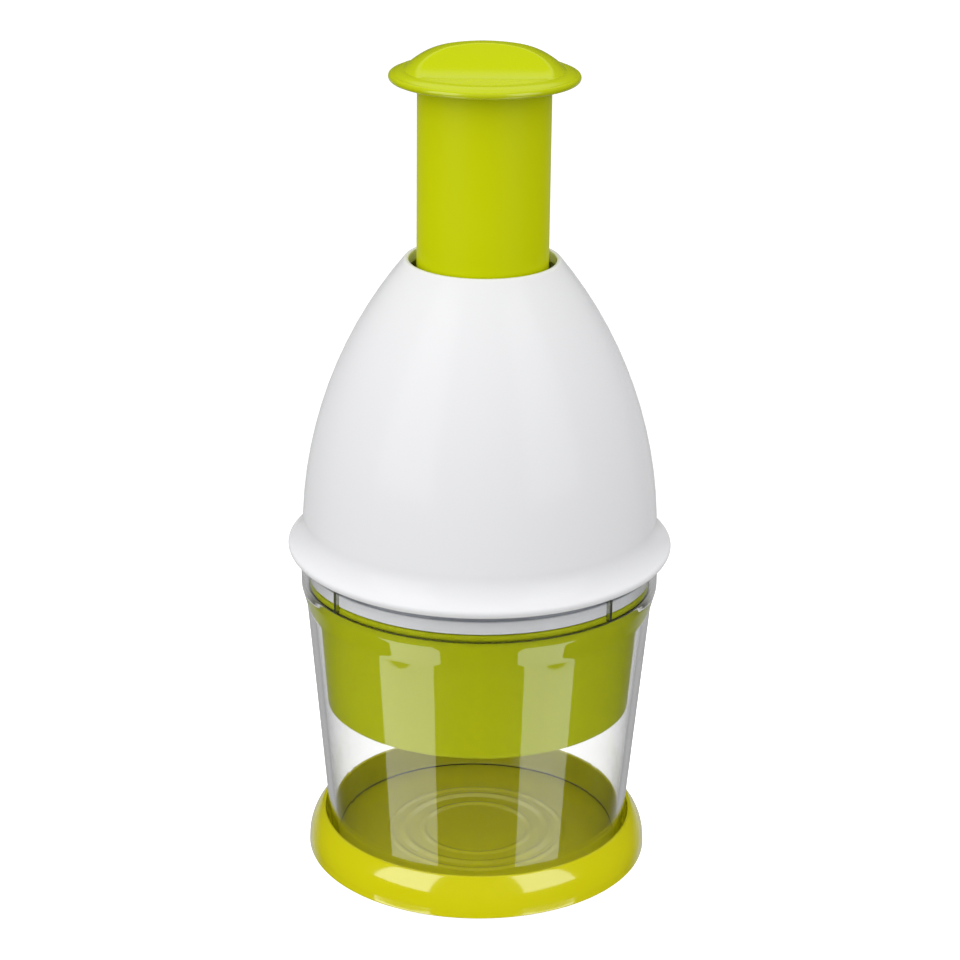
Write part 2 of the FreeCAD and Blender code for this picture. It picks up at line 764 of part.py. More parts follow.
def push_rod():
    """Rod whose flatted lower half is twisted, so that the index nut turns it as it goes down."""
    low = number("rod_bottom_z")
    twist_top = number("rod_twist_top_z")
    length = twist_top - low
    pitch = number("travel") * 360.0 / number("turn_per_press")
    spine = Part.Wire([Part.makeLine(Vector(0, 0, low), Vector(0, 0, twist_top))])
    section = flatted_wire(number("rod_radius"), number("rod_flat"))
    nut_middle = number("deck_top_z") / 2 + number("nut_flange_bottom_z") / 2
    turn_at_nut = 360.0 * (nut_middle - low) / pitch
    section.rotate(Vector(0, 0, 0), Z_AXIS, turn_at_nut)
    section.translate(Vector(0, 0, low))
    guide = Part.makeHelix(pitch, length, number("rod_radius"), 0.0, True)
    guide.translate(Vector(0, 0, low))
    sweep = Part.BRepOffsetAPI.MakePipeShell(spine)
    sweep.setAuxiliarySpine(Part.Wire(guide.Edges), True, 0)
    sweep.add(section)
    sweep.build()
    sweep.makeSolid()
    twisted = sweep.shape()
    shank = Part.makeCylinder(number("rod_radius"), number("rod_shoulder_z") - twist_top,
                              Vector(0, 0, twist_top))
    journal = Part.makeCylinder(number("rod_journal"), number("rod_top_z - rod_shoulder_z"),
                                Vector(0, 0, number("rod_shoulder_z")))
    groove = Part.makeCylinder(number("rod_journal + cut_over"), number("clip_top_z - clip_bottom_z"),
                               Vector(0, 0, number("clip_bottom_z")))
    neck = Part.makeCylinder(number("clip_seat"), number("clip_top_z - clip_bottom_z"),
                             Vector(0, 0, number("clip_bottom_z")))
    rod = twisted.fuse([shank, journal]).cut(groove.cut(neck))
    node = doc.addObject("Part::Feature", "push_rod")
    node.Label = "push_rod"
    node.Shape = rod
    return node


def rod_circlip():
    """Open retaining ring in the rod's top groove."""
    body = new_body("rod_circlip")
    turned(body, "clip", ring_corners("clip_seat", "clip_radius", "clip_bottom_z", "clip_top_z"))
    gap = new_sketch(body, "gap_outline", "XY_Plane", "clip_bottom_z")
    outline(gap, [
        ("0 - clip_gap_half", "0 - clip_radius - cut_over"),
        ("clip_gap_half", "0 - clip_radius - cut_over"),
        ("clip_gap_half", "0 - clip_gap_inner"),
        ("0 - clip_gap_half", "0 - clip_gap_inner"),
    ])
    straight(body, "gap", gap, "clip_top_z - clip_bottom_z", "PartDesign::Pocket", back=True)
    return body


def zigzag_points(strip):
    """Plan of one blade strip: corners swing between the inner and the outer circle."""
    corners = []
    for index in range(BLADE_VERTICES):
        angle = math.radians(360.0 / BLADES * (strip + index / (BLADE_VERTICES - 1)) - 90.0)
        radius = number("blade_inner") if index % 2 == 0 else number("blade_outer")
        corners.append(Vector(radius * math.cos(angle), radius * math.sin(angle), 0))
    gap = number("blade_end_gap")
    for end, neighbour in ((0, 1), (-1, -2)):
        inward = (corners[neighbour] - corners[end]).normalize()
        corners[end] = corners[end] + inward * gap
    return corners


def zigzag_prism(strip, half_width, low, high):
    """Upright wall of the given half width along a blade's plan, with mitred corners."""
    corners = zigzag_points(strip)
    left = []
    right = []
    for index, corner in enumerate(corners):
        before = (corner - corners[index - 1]).normalize() if index else None
        after = (corners[index + 1] - corner).normalize() if index < len(corners) - 1 else None
        before = before or after
        after = after or before
        normal = (Vector(-before.y, before.x, 0) + Vector(-after.y, after.x, 0)).normalize()
        reach = half_width / max(normal.dot(Vector(-before.y, before.x, 0)), 0.3)
        left.append(corner + normal * reach)
        right.append(corner - normal * reach)
    ring = left + right[::-1]
    face = Part.Face(Part.makePolygon(ring + ring[:1]))
    face.translate(Vector(0, 0, low))
    return face.extrude(Vector(0, 0, high - low))


def zigzag_blade(strip):
    node = doc.addObject("Part::Feature", "zigzag_blade_%d" % (strip + 1))
    node.Label = "zigzag_blade_%d" % (strip + 1)
    half = number("blade_sheet") / 2
    node.Shape = zigzag_prism(strip, half, number("blade_bottom_z"), number("blade_top_z"))
    return node


def wiper_disc():
    """Disc that the blades pass through; it turns with them."""
    blank = new_body("wiper_blank")
    turned(blank, "disc", ring_corners("0", "wiper_radius", "wiper_bottom_z", "wiper_top_z"))
    half = number("blade_sheet") / 2 + number("wiper_slot_gap")
    low = number("wiper_bottom_z - cut_over")
    high = number("wiper_top_z + cut_over")
    slots = [zigzag_prism(strip, half, low, high) for strip in range(BLADES)]
    tool = doc.addObject("Part::Feature", "wiper_slots")
    tool.Shape = Part.makeCompound(slots)
    disc = doc.addObject("Part::Cut", "wiper_disc")
    disc.Label = "wiper_disc"
    disc.Base = blank
    disc.Tool = tool
    doc.recompute()
    return disc


def blade_carrier():
    """Disc that the blades' top edges are welded under."""
    body = new_body("blade_carrier")
    turned(body, "disc", ring_corners(
        "carrier_bore", "carrier_radius", "carrier_bottom_z", "carrier_top_z"))
    hole = circle(new_sketch(body, "pilot_outline", "XY_Plane", "carrier_bottom_z"),
                  "0", "0 - hub_screw_circle", "screw_shank")
    pilot = straight(body, "pilot", hole, "carrier_top_z - carrier_bottom_z",
                     "PartDesign::Pocket", back=True)
    around(body, "pilots", pilot, SCREWS)
    return body


def blade_hub():
    """Collar pressed on the foot of the rod and screwed down on the carrier."""
    body = new_body("blade_hub")
    turned(body, "hub", ring_corners("hub_bore", "hub_radius", "carrier_top_z", "hub_top_z"))
    hole = circle(new_sketch(body, "screw_hole_outline", "XY_Plane", "carrier_top_z"),
                  "0", "0 - hub_screw_circle", "screw_shank + screw_clearance")
    clearance = straight(body, "screw_hole", hole, "hub_top_z - carrier_top_z",
                         "PartDesign::Pocket", back=True)
    around(body, "screw_holes", clearance, SCREWS)
    return body


# ---------------------------------------------------------------- assembly

nodes = [
    base_tray(),
    clear_cup(),
    bell_housing(),
    guide_tube(),
    index_nut(),
    blade_sleeve(),
    plain_ring("wiper_snap_ring", "snap_ring_bore", "snap_ring_radius",
               "snap_ring_bottom_z", "snap_ring_top_z"),
    return_spring(),
    plunger_tube(),
    plunger_knob(),
    spring_cap(),
    rod_bearing(),
    push_rod(),
    plain_ring("thrust_washer", "washer_bore", "washer_radius", "washer_bottom_z", "washer_top_z"),
    rod_circlip(),
    blade_hub(),
    blade_carrier(),
    wiper_disc(),
]
nodes += [zigzag_blade(strip) for strip in range(BLADES)]
nodes += [
    copies_around("deck_screws", SCREWS, pan_screw(
        "boss_circle", "deck_bottom_z", "deck_screw_length", "screw_head_rise", -1)),
    copies_around("knob_screws", SCREWS, pan_screw(
        "knob_screw_circle", "web_bottom_z", "knob_screw_length", "screw_head_rise", -1)),
    copies_around("hub_screws", SCREWS, pan_screw(
        "hub_screw_circle", "hub_top_z", "hub_screw_length", "hub_screw_head_rise", 1)),
]
doc.recompute()

for item in doc.Objects:
    require("Invalid" not in item.State and "Error" not in item.State, "%s failed" % item.Label)

os.makedirs("parts", exist_ok=True)
for node in nodes:
    shape = node.Shape
    require(not shape.isNull() and shape.isValid(), "%s has no valid shape" % node.Label)
    shape.exportStep("parts/%s.step" % node.Label)
    box = shape.optimalBoundingBox(False)
    print("%-18s solids %d  volume %9.1f  z %7.2f to %7.2f  radius %6.2f" % (
        node.Label, len(shape.Solids), shape.Volume, box.ZMin, box.ZMax, max(box.XMax, box.YMax)))
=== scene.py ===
"""Plunger food chopper: smooth shells, a clear cup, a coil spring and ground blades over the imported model.

Metres, +Z up, the front towards -Y. Every piece is built in place, with its object at the origin.
"""

import json
import math

import bpy
import numpy as np
from mathutils import Matrix, Vector


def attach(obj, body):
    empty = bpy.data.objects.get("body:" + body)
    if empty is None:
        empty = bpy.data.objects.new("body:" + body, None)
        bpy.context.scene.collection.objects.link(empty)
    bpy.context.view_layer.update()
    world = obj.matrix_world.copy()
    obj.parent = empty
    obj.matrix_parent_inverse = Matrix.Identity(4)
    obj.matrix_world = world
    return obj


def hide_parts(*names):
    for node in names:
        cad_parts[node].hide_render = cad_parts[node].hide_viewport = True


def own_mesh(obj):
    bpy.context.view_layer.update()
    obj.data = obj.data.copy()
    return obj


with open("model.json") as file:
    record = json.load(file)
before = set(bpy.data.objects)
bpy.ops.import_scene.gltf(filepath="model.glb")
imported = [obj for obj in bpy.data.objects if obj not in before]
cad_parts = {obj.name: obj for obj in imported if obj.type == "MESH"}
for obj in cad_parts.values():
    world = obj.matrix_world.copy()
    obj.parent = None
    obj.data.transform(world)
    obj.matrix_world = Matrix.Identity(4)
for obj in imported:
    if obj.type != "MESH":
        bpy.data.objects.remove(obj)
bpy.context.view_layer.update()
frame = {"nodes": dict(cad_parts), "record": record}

MM = 0.001

# ---------- camera and studio sizes
CAMERA_PLACE = (0.0, -0.6608, 0.3519)
CAMERA_PITCH = math.radians(20.49)      # below level
CAMERA_YAW = math.radians(0.006)
CAMERA_ROLL = math.radians(0.641)
CAMERA_LENS = 100.69                    # mm
CAMERA_SENSOR = 36.0                    # mm

SOFTBOX_DISTANCE = 0.5                  # from the object's axis
SOFTBOX_HEIGHT = 0.68
SOFTBOX_MIDDLE = 0.46                   # height of its centre
LIGHT_BEHIND = 1.06                     # how much farther off its light stands than its reflection
TABLE_EDGE = -0.235                     # height where its image in the table starts

# The room's light on dull surfaces.
FILL_BELOW = 0.15
FILL_ABOVE = 1.03
FILL_RISE = (-0.6, 0.4)                 # it brightens between these heights of a direction
FILL_FRONT = 1.3                        # how much brighter it is in front
FILL_FRONT_SIDES = (90, 180)            # degrees from straight back over which it grows

# What glossy surfaces mirror. Spans are in degrees, from straight back or from level.
MIRRORED_ROOM = 0.03                    # brightness of the room
MIRRORED_PANEL = 0.7                    # of a pale panel high up behind the object
PANEL_SIDES = (25, 50)
PANEL_FOOT = (32, 40)
PANEL_TOP = (60, 75)
MIRRORED_TABLE = 0.45                   # of the table behind the object
TABLE_SIDES = (25, 55)
TABLE_HORIZON = (-12, 2)

# What shows straight through the cup's wall.
THROUGH_BACK = 1.22                     # brightness of the white backdrop
THROUGH_SIDE = 0.85                     # of the room beside it
BACKDROP_SIDES = (40, 60)

# The floor, near the object and far from it. Fades run between two distances from the middle.
FLOOR_HALF = 2.5
FLOOR_LEVEL = -0.0003
FLOOR_PAINT = (0.85, 0.10)              # how pale it is to light that falls on it
FLOOR_PAINT_FADE = (0.09, 0.30)
FLOOR_GLOW = (0.80, 1.0)                # how brightly it shines to the camera
FLOOR_GLOW_FADE = (0.05, 0.16)

# ---------- how finely shapes are drawn
AROUND = 256                            # steps of a full turn on the large shells
ARC_STEP = math.radians(3.0)
ROUND_STEP = math.radians(12.0)
SUPPORT = 0.5                           # mm from a rounded corner to the next ring, so that flats stay flat
SHARP = math.radians(38.0)

# ---------- sizes of the pieces, in mm
# Plain names are radii; LOW, TOP, FLOOR and HEIGHT are heights, WALL a thickness and ARC a curve's radius.
SCREWS = 3                              # bosses and screws repeat three times round

TRAY_FOOT = 45.9
TRAY_WALL_FOOT = 45.8                   # where the leaning wall starts
TRAY_WALL_ARC = 12.5
TRAY_RIM = 42.2
TRAY_TOP = 10.4
TRAY_RECESS = 0.8                       # depth of the hollow underneath
TRAY_FLOOR = 3.0
TRAY_RINGS = ((23.55, 0.9), (19.85, 1.4), (14.55, 1.0))  # middle radius and half width
RING_RISE = 0.42
RING_ROUND = 0.9

CUP_WALL = 1.8
CUP_FOOT = 39.7
CUP_LOW = 3.1
CUP_SHOULDER = 45.8
CUP_SHOULDER_HEIGHT = 71.8
COLLAR = 47.2
COLLAR_LOW = 77.0
COLLAR_BORE = 45.4
CUP_TOP = 85.6
LEDGE_HEIGHT = 78.4
LEDGE_BORE = 44.1
PAINTED_RIM_SHADE_SPAN = (77.6, 77.9)                # painted shade fades in on the rounded rims between these heights
RIB_TURNS = [math.radians(a) for a in (37.5, 136.5, 217.5, 316.5)]
RIB_HALF_WIDTH = 0.5
RIB_DEPTH = 1.2
RIB_TOP = 84.6
NOTCH_HALF_WIDTH = 1.0

BELL_WALL = 2.2
BELL_ARC = 117.0
BELL_FOOT = 46.6
BELL_FOOT_HEIGHT = 96.7
BELL_MOUTH = 20.0
BELL_TOP = 165.4
BELL_BORE = 18.9
SKIRT = 44.9
SKIRT_BORE = 43.1
SKIRT_LOW = 80.5
FLANGE_LOW = 86.4

BOSS_CIRCLE = 40.6
BOSS = 3.8
BOSS_BORE = 1.3
BOSS_BORE_TOP = 106.6
BOSS_LOW = 98.6
BOSS_TOP = 109.6

SLEEVE_WALL = 1.8
SLEEVE_LIP = 36.5
SLEEVE_FOOT = 40.5
SLEEVE_LOW = 43.6
SLEEVE_SHOULDER = 43.2
SLEEVE_SHOULDER_HEIGHT = 78.6
SLEEVE_FLANGE = 44.9
SLEEVE_FLANGE_TOP = 80.2
SLEEVE_NECK = 42.8
SLEEVE_TOP = 88.0

TUBE = 16.9
TUBE_BORE = 15.1
TUBE_LOW = 142.0
TUBE_TOP = 211.1
WEB_BORE = 4.9
WEB_LOW = 203.0
WEB_TOP = 206.0

KNOB_SOCKET = 15.0
KNOB_SOCKET_BORE = 9.5
KNOB_SOCKET_LOW = 206.1
KNOB_SOCKET_FLOOR = 211.5
KNOB_EDGE = 23.15
KNOB_EDGE_HEIGHT = 212.25
KNOB_EDGE_ROUND = 0.95
KNOB_BRIM_ARC = 6.0
KNOB_BRIM = 20.3
KNOB_BRIM_HEIGHT = 214.1
KNOB_BROW = 9.0
KNOB_TOP = 220.9
KNOB_CROWN_ARC = 47.6
KNOB_BROW_ARC = 23.5
SCOOP_START = 2.7                       # from the knob's middle line
SCOOP_START_HEIGHT = 220.1
SCOOP_END = 13.2
SCOOP_FLOOR = 213.98
SCOOP_CURVE = 1.7
GROOVE_START = 17.0
CREST_SOFTNESS = 0.5
CROWN_RINGS = 64

SPRING_RADIUS = 9.0
SPRING_WIRE = 1.2
SPRING_TURNS = 14
SPRING_LOW = 99.1
SPRING_TOP = 200.0
SPRING_END_TURNS = 0.95                 # turns that lie close together at each end

SCREW_HEAD = 2.3
SCREW_SHANK = 1.25
SCREW_TIP = 0.9
SCREW_POINT = 1.2                       # length of the tapered end
RECESS_ARM = 1.3                        # half length of the cross recess
RECESS_HALF_WIDTH = 0.3
RECESS_DEPTH = 0.7

BLADES = 3
BLADE_INNER = 10.0                      # a strip zigzags between these two circles
BLADE_OUTER = 34.0
BLADE_VERTICES = 5                      # corners of a zigzag strip, its ends among them
BLADE_END_GAP = 3.2                     # how far a strip's ends stop short of the next strips
BLADE_SHEET = 0.7
BLADE_LOW = 46.3
BLADE_TOP = 88.7
BLADE_BEVEL = 2.6
BLADE_BEVEL_ROUND = 0.4                 # height above the bevel of the next ring
BLADE_EDGE = 0.08
BLADE_BEND = 0.4


# ---------- colours

def srgb(code):
    """Linear colour of a hexadecimal screen colour."""
    channels = [int(code[i:i + 2], 16) / 255 for i in (1, 3, 5)]
    return tuple(c / 12.92 if c <= 0.04045 else ((c + 0.055) / 1.055) ** 2.4 for c in channels) + (1.0,)


LIME = srgb("#D0D900")
LIME_SHADED = srgb("#B7BE00")             # the sleeve: the lime darkened as painted shade
LIME_POLISHED = srgb("#C1CD00")         # the knob
LIME_PALE = srgb("#D2D83A")             # worn edges
CLEAR = (0.995, 0.997, 1.0, 1.0)
CLEAR_SHADOW = (0.87, 0.88, 0.89, 1.0)  # lamplight that the clear wall lets through
PAINTED_RIM_SHADE = (0.10, 0.11, 0.13, 1.0)     # painted shade on the cup's rounded rims, which trap light


# ---------- node trees

class Tree:
    """Adds nodes to a tree and links them as it goes."""

    def __init__(self, tree):
        self.tree = tree

    def fill(self, node, inputs):
        """Set or link the node's inputs."""
        for name, value in inputs.items():
            if isinstance(value, bpy.types.NodeSocket):
                self.tree.links.new(value, node.inputs[name])
            else:
                node.inputs[name].default_value = value

    def add(self, kind, inputs=(), **settings):
        """A node with its inputs filled; its other settings are given by name."""
        node = self.tree.nodes.new(kind)
        for name, value in settings.items():
            setattr(node, name, value)
        self.fill(node, dict(inputs))
        return node

    def shared(self, group, inputs):
        """Outputs of a shared shader group."""
        return self.add("ShaderNodeGroup", inputs, node_tree=group).outputs

    def place(self):
        """Place on the object, in metres."""
        return self.add("ShaderNodeTexCoord").outputs["Object"]

    def edge(self):
        """The mesh's mask of rounded edges."""
        return self.add("ShaderNodeAttribute", attribute_name="edge").outputs["Fac"]

    def relief(self, height, strength, depth):
        """Normal of a fine relief, whose depth is in mm."""
        inputs = {"Height": height, "Strength": strength, "Distance": depth * MM}
        return self.add("ShaderNodeBump", inputs).outputs["Normal"]

    def math(self, operation, first, second=0.0, clamp=False):
        kind = "ShaderNodeMath"
        node = self.add(kind, {0: first, 1: second}, operation=operation, use_clamp=clamp)
        return node.outputs[0]

    def times(self, first, *others):
        """Product of the values."""
        for other in others:
            first = self.math("MULTIPLY", first, other)
        return first

    def number_mix(self, factor, first, second):
        return self.add("ShaderNodeMix", {0: factor, 2: first, 3: second}, data_type="FLOAT").outputs[0]

    def color_mix(self, factor, first, second):
        return self.add("ShaderNodeMix", {0: factor, 6: first, 7: second}, data_type="RGBA").outputs[2]

    def ramp(self, value, low, high, out_low=0.0, out_high=1.0):
        """Smooth change from one value to another while the input goes from low to high."""
        inputs = {"Value": value, "From Min": low, "From Max": high, "To Min": out_low, "To Max": out_high}
        return self.add("ShaderNodeMapRange", inputs, interpolation_type="SMOOTHSTEP").outputs[0]

    def angle_ramp(self, angle, span, out_low=0.0, out_high=1.0):
        """Ramp over a span of degrees."""
        low, high = map(math.radians, span)
        return self.ramp(angle, low, high, out_low, out_high)

    def noise(self, place, scale, detail=2.0, roughness=0.5):
        inputs = {"Vector": place, "Scale": scale, "Detail": detail, "Roughness": roughness}
        return self.add("ShaderNodeTexNoise", inputs).outputs["Fac"]


def new_group(name, kind, inputs, outputs):
    """A node group with named sockets, as (group, Tree, group input node, group output node)."""
    group = bpy.data.node_groups.new(name, kind)
    for label, socket, value in inputs:
        made = group.interface.new_socket(label, in_out="INPUT", socket_type="NodeSocket" + socket)
        if value is not None:
            made.default_value = value
    for label, socket in outputs:
        group.interface.new_socket(label, in_out="OUTPUT", socket_type="NodeSocket" + socket)
    tree = Tree(group)
    return group, tree, tree.add("NodeGroupInput"), tree.add("NodeGroupOutput")


# ---------- shared shader groups
# Scales are in waves per metre. An edge is the span of a noise over which its mark fades in.
WAVE_SCALE = 28.0
SMUDGE_EDGE = (0.42, 0.68)
SCRATCH_SLANT = (0.5, 0.35, 0.9)
SCRATCH_SCALE = (1800.0, 60.0, 45.0)    # across the scratches, and along them
SCRATCH_EDGE = (0.80, 0.84)
SCRATCH_AREAS = 95.0                    # scratches keep to scattered areas
SCRATCH_AREA_EDGE = (0.56, 0.66)
SCRATCH_ROUGHNESS = 0.6
DRIFT_SCALE = 22.0
WEAR_SCALE = 260.0
WEAR_EDGE = (0.35, 0.75)
STEEL_CLOUDS = 70.0
STEEL_LINES = 0.6                       # share of the lines in steel's shade; clouds make the rest


def moulded_skin_group():
    """Surface of a moulding: faint orange peel, with slow waves from shrinkage."""
    group, tree, source, target = new_group("Moulded Skin", "ShaderNodeTree", [
        ("Peel Scale", "Float", 900.0),
        ("Peel", "Float", 0.3),
        ("Wave", "Float", 0.7),
    ], [("Height", "Float")])
    place = tree.place()
    peel = tree.noise(place, source.outputs["Peel Scale"], 3.0, 0.6)
    wave = tree.noise(place, WAVE_SCALE, 1.0, 0.4)
    height = tree.math("ADD", tree.times(peel, source.outputs["Peel"]),
                       tree.times(wave, source.outputs["Wave"]))
    tree.fill(target, {"Height": height})
    return group


def handling_group():
    """Smudges from hands and hairline scratches, as roughness and as a mask of the scratches."""
    group, tree, source, target = new_group("Handling Marks", "ShaderNodeTree", [
        ("Roughness", "Float", 0.3),
        ("Smudge", "Float", 0.05),
        ("Scratch", "Float", 0.1),
        ("Size", "Float", 60.0),
    ], [("Roughness", "Float"), ("Scratches", "Float")])
    place = tree.place()
    cloud = tree.noise(place, source.outputs["Size"], 4.0, 0.65)
    patch = tree.ramp(cloud, *SMUDGE_EDGE)
    slant = tree.add("ShaderNodeMapping", {
        "Vector": place,
        "Rotation": SCRATCH_SLANT,
        "Scale": SCRATCH_SCALE,
    }).outputs[0]
    hair = tree.ramp(tree.noise(slant, 1.0, 0.0), *SCRATCH_EDGE)
    sparse = tree.ramp(tree.noise(place, SCRATCH_AREAS, 1.0), *SCRATCH_AREA_EDGE)
    scratches = tree.times(hair, sparse, source.outputs["Scratch"])
    rough = tree.math("ADD", source.outputs["Roughness"], tree.times(patch, source.outputs["Smudge"]))
    rough = tree.math("ADD", rough, tree.times(scratches, SCRATCH_ROUGHNESS), clamp=True)
    tree.fill(target, {"Roughness": rough, "Scratches": scratches})
    return group


def colour_drift_group():
    """Slight unevenness of a pigment, with paler rounded edges and pale scratches."""
    group, tree, source, target = new_group("Pigment", "ShaderNodeTree", [
        ("Color", "Color", (0.8, 0.8, 0.8, 1.0)),
        ("Worn Color", "Color", (0.9, 0.9, 0.9, 1.0)),
        ("Drift", "Float", 0.04),
        ("Edge Wear", "Float", 0.2),
        ("Scratches", "Float", 0.0),
    ], [("Color", "Color")])
    place = tree.place()
    slow = tree.noise(place, DRIFT_SCALE)
    drift = tree.times(tree.math("SUBTRACT", slow, 0.5), source.outputs["Drift"])
    value = tree.math("ADD", 1.0, drift)
    shade = tree.add("ShaderNodeHueSaturation", {"Color": source.outputs["Color"], "Value": value})
    edge = tree.edge()
    broken = tree.ramp(tree.noise(place, WEAR_SCALE, 3.0, 0.6), *WEAR_EDGE)
    worn = tree.times(edge, broken, source.outputs["Edge Wear"])
    worn = tree.math("ADD", worn, source.outputs["Scratches"], clamp=True)
    color = tree.color_mix(worn, shade.outputs[0], source.outputs["Worn Color"])
    tree.fill(target, {"Color": color})
    return group


def tool_lines_group():
    """Fine parallel lines of grinding, drawing or turning, as a height and a shade."""
    group, tree, source, target = new_group("Tool Lines", "ShaderNodeTree", [
        ("Scale", "Vector", (30.0, 30.0, 3000.0)),
        ("Fine", "Float", 0.5),
    ], [("Height", "Float"), ("Shade", "Float")])
    place = tree.place()
    stretched = tree.add("ShaderNodeVectorMath", {0: place, 1: source.outputs["Scale"]},
                         operation="MULTIPLY").outputs[0]
    lines = tree.noise(stretched, 1.0, 2.0, source.outputs["Fine"])
    cloud = tree.noise(place, STEEL_CLOUDS, 3.0, 0.6)
    shade = tree.math("ADD", tree.times(lines, STEEL_LINES), tree.times(cloud, 1.0 - STEEL_LINES))
    tree.fill(target, {"Height": lines, "Shade": shade})
    return group


SKIN = moulded_skin_group()
HANDLING = handling_group()
PIGMENT = colour_drift_group()
TOOL_LINES = tool_lines_group()


# ---------- materials
PLASTIC_WAVE = 0.5
PLASTIC_RELIEF = 0.2                    # mm
STEEL_RELIEF = 0.05                     # mm
STEEL_BUMP = 0.15
STEEL_SHADE_SPAN = (0.3, 0.7)
STEEL_DARK = 0.78                       # how dark the lines' valleys are against the colour
STEEL_SPREAD = 0.06                     # how far the lines move the roughness either way
COAT_ROUGHNESS = 0.06
CLEAR_IOR = 1.5


def new_material(name):
    """A material with a Principled shader, as (material, Tree, shader, output)."""
    material = bpy.data.materials.new(name)
    material.use_nodes = True
    material.node_tree.nodes.clear()
    tree = Tree(material.node_tree)
    shader = tree.add("ShaderNodeBsdfPrincipled")
    output = tree.add("ShaderNodeOutputMaterial", {"Surface": shader.outputs[0]})
    return material, tree, shader, output


def moulded_plastic(name, color, worn, roughness, peel=0.25, bump=0.05, coat=0.0, smudge=0.05, wear=0.15,
                    drift=0.05, scratch=0.06, specular=0.5, glow=0.0):
    """Moulded plastic: pigment, polish with handling marks, and the skin's fine relief."""
    material, tree, shader, _ = new_material(name)
    marks = tree.shared(HANDLING, {"Roughness": roughness, "Smudge": smudge, "Scratch": scratch})
    pigment = tree.shared(PIGMENT, {
        "Color": color,
        "Worn Color": worn,
        "Drift": drift,
        "Edge Wear": wear,
        "Scratches": marks["Scratches"],
    })
    skin = tree.shared(SKIN, {"Peel": peel, "Wave": PLASTIC_WAVE})
    tree.fill(shader, {
        "Base Color": pigment["Color"],
        "Roughness": marks["Roughness"],
        "Normal": tree.relief(skin["Height"], bump, PLASTIC_RELIEF),
        "Specular IOR Level": specular,
        "Coat Weight": coat,
        "Coat Roughness": COAT_ROUGHNESS,
        "Subsurface Weight": glow,
        "Subsurface Radius": (1.0, 0.8, 0.3),
        "Subsurface Scale": 1.2 * MM,
    })
    return material


def metal(name, color, roughness, lines):
    """Worked steel: its tool lines show in colour, polish and relief."""
    material, tree, shader, _ = new_material(name)
    worked = tree.shared(TOOL_LINES, {"Scale": lines})
    shade = worked["Shade"]
    dark = tuple(c * STEEL_DARK for c in color[:3]) + (1.0,)
    tree.fill(shader, {
        "Base Color": tree.color_mix(tree.ramp(shade, *STEEL_SHADE_SPAN), dark, color),
        "Roughness": tree.ramp(shade, *STEEL_SHADE_SPAN, roughness + STEEL_SPREAD,
                               roughness - STEEL_SPREAD),
        "Normal": tree.relief(worked["Height"], STEEL_BUMP, STEEL_RELIEF),
        "Metallic": 1.0,
    })
    return material


def clear_plastic(name):
    """Clear thick plastic, with painted shade on its rounded rims near the top. Lamps shine through it, as
    they do through the real wall.
    """
    material, tree, shader, output = new_material(name)
    place = tree.place()
    height = tree.add("ShaderNodeSeparateXYZ", {0: place}).outputs["Z"]
    edge = tree.edge()
    low, high = (limit * MM for limit in PAINTED_RIM_SHADE_SPAN)
    # painted shade: the rounded rims near the top are darkened in the base colour
    rim_shade_mask = tree.times(edge, tree.ramp(height, low, high))
    tint = tree.color_mix(rim_shade_mask, CLEAR, PAINTED_RIM_SHADE)
    marks = tree.shared(HANDLING, {"Roughness": 0.015, "Smudge": 0.03, "Scratch": 0.03})
    skin = tree.shared(SKIN, {"Peel": 0.02, "Wave": 0.4})
    tree.fill(shader, {
        "Base Color": tint,
        "Roughness": marks["Roughness"],
        "Normal": tree.relief(skin["Height"], 0.04, PLASTIC_RELIEF),
        "Transmission Weight": 1.0,
        "IOR": CLEAR_IOR,
    })
    lamp_rays = tree.add("ShaderNodeLightPath").outputs["Is Shadow Ray"]
    through = tree.add("ShaderNodeBsdfTransparent", {"Color": CLEAR_SHADOW})
    mixed = tree.add("ShaderNodeMixShader", {0: lamp_rays, 1: shader.outputs[0], 2: through.outputs[0]})
    tree.fill(output, {"Surface": mixed.outputs[0]})
    return material


MATERIALS = {
    "green_tray": moulded_plastic("tray green", srgb("#CCC700"), srgb("#D8D43C"), 0.12, bump=0.02, coat=1.0,
                                  smudge=0.03, wear=0.08),
    "green_plastic": moulded_plastic("lime green", LIME, LIME_PALE, 0.36, bump=0.04, specular=0.08),
    # the sleeve's lime plastic, darker as painted shade from the flange and the cup
    "green_sleeve": moulded_plastic("lime green in painted shade", LIME_SHADED, LIME_PALE, 0.36, bump=0.04,
                                    specular=0.08),
    "green_knob": moulded_plastic("polished lime green", LIME_POLISHED, LIME_PALE, 0.17, peel=0.15,
                                  bump=0.03, smudge=0.03),
    "white_housing": moulded_plastic("housing white", srgb("#ECECEE"), srgb("#F4F4F4"), 0.12, peel=0.05,
                                     bump=0.015, smudge=0.03, drift=0.01, scratch=0.02, specular=0.1),
    "white_inner": moulded_plastic("inner white", srgb("#DEDEDC"), srgb("#EAEAEA"), 0.42, peel=0.6,
                                   bump=0.08),
    "clear_cup": clear_plastic("clear plastic"),
    "nylon": moulded_plastic("natural nylon", srgb("#E6E1D2"), srgb("#F0EDE4"), 0.45, peel=0.5, glow=0.2),
    "steel_fastener": metal("zinc plated steel", (0.60, 0.61, 0.62, 1.0), 0.32, (700.0, 700.0, 700.0)),
    "spring_steel": metal("drawn spring steel", (0.52, 0.52, 0.53, 1.0), 0.28, (90.0, 90.0, 2600.0)),
    "steel_rod": metal("turned stainless steel", (0.64, 0.64, 0.65, 1.0), 0.24, (40.0, 40.0, 4200.0)),
    "blade_steel": metal("ground stainless steel", (0.70, 0.70, 0.71, 1.0), 0.22, (2600.0, 2600.0, 60.0)),
}


# ---------- outlines

def corner(x, y, rounding=0.0, arc=0.0):
    """Corner of an outline, in mm. arc is the radius of the arc that leads on, positive to turn left."""
    return Vector((x, y)), rounding, arc


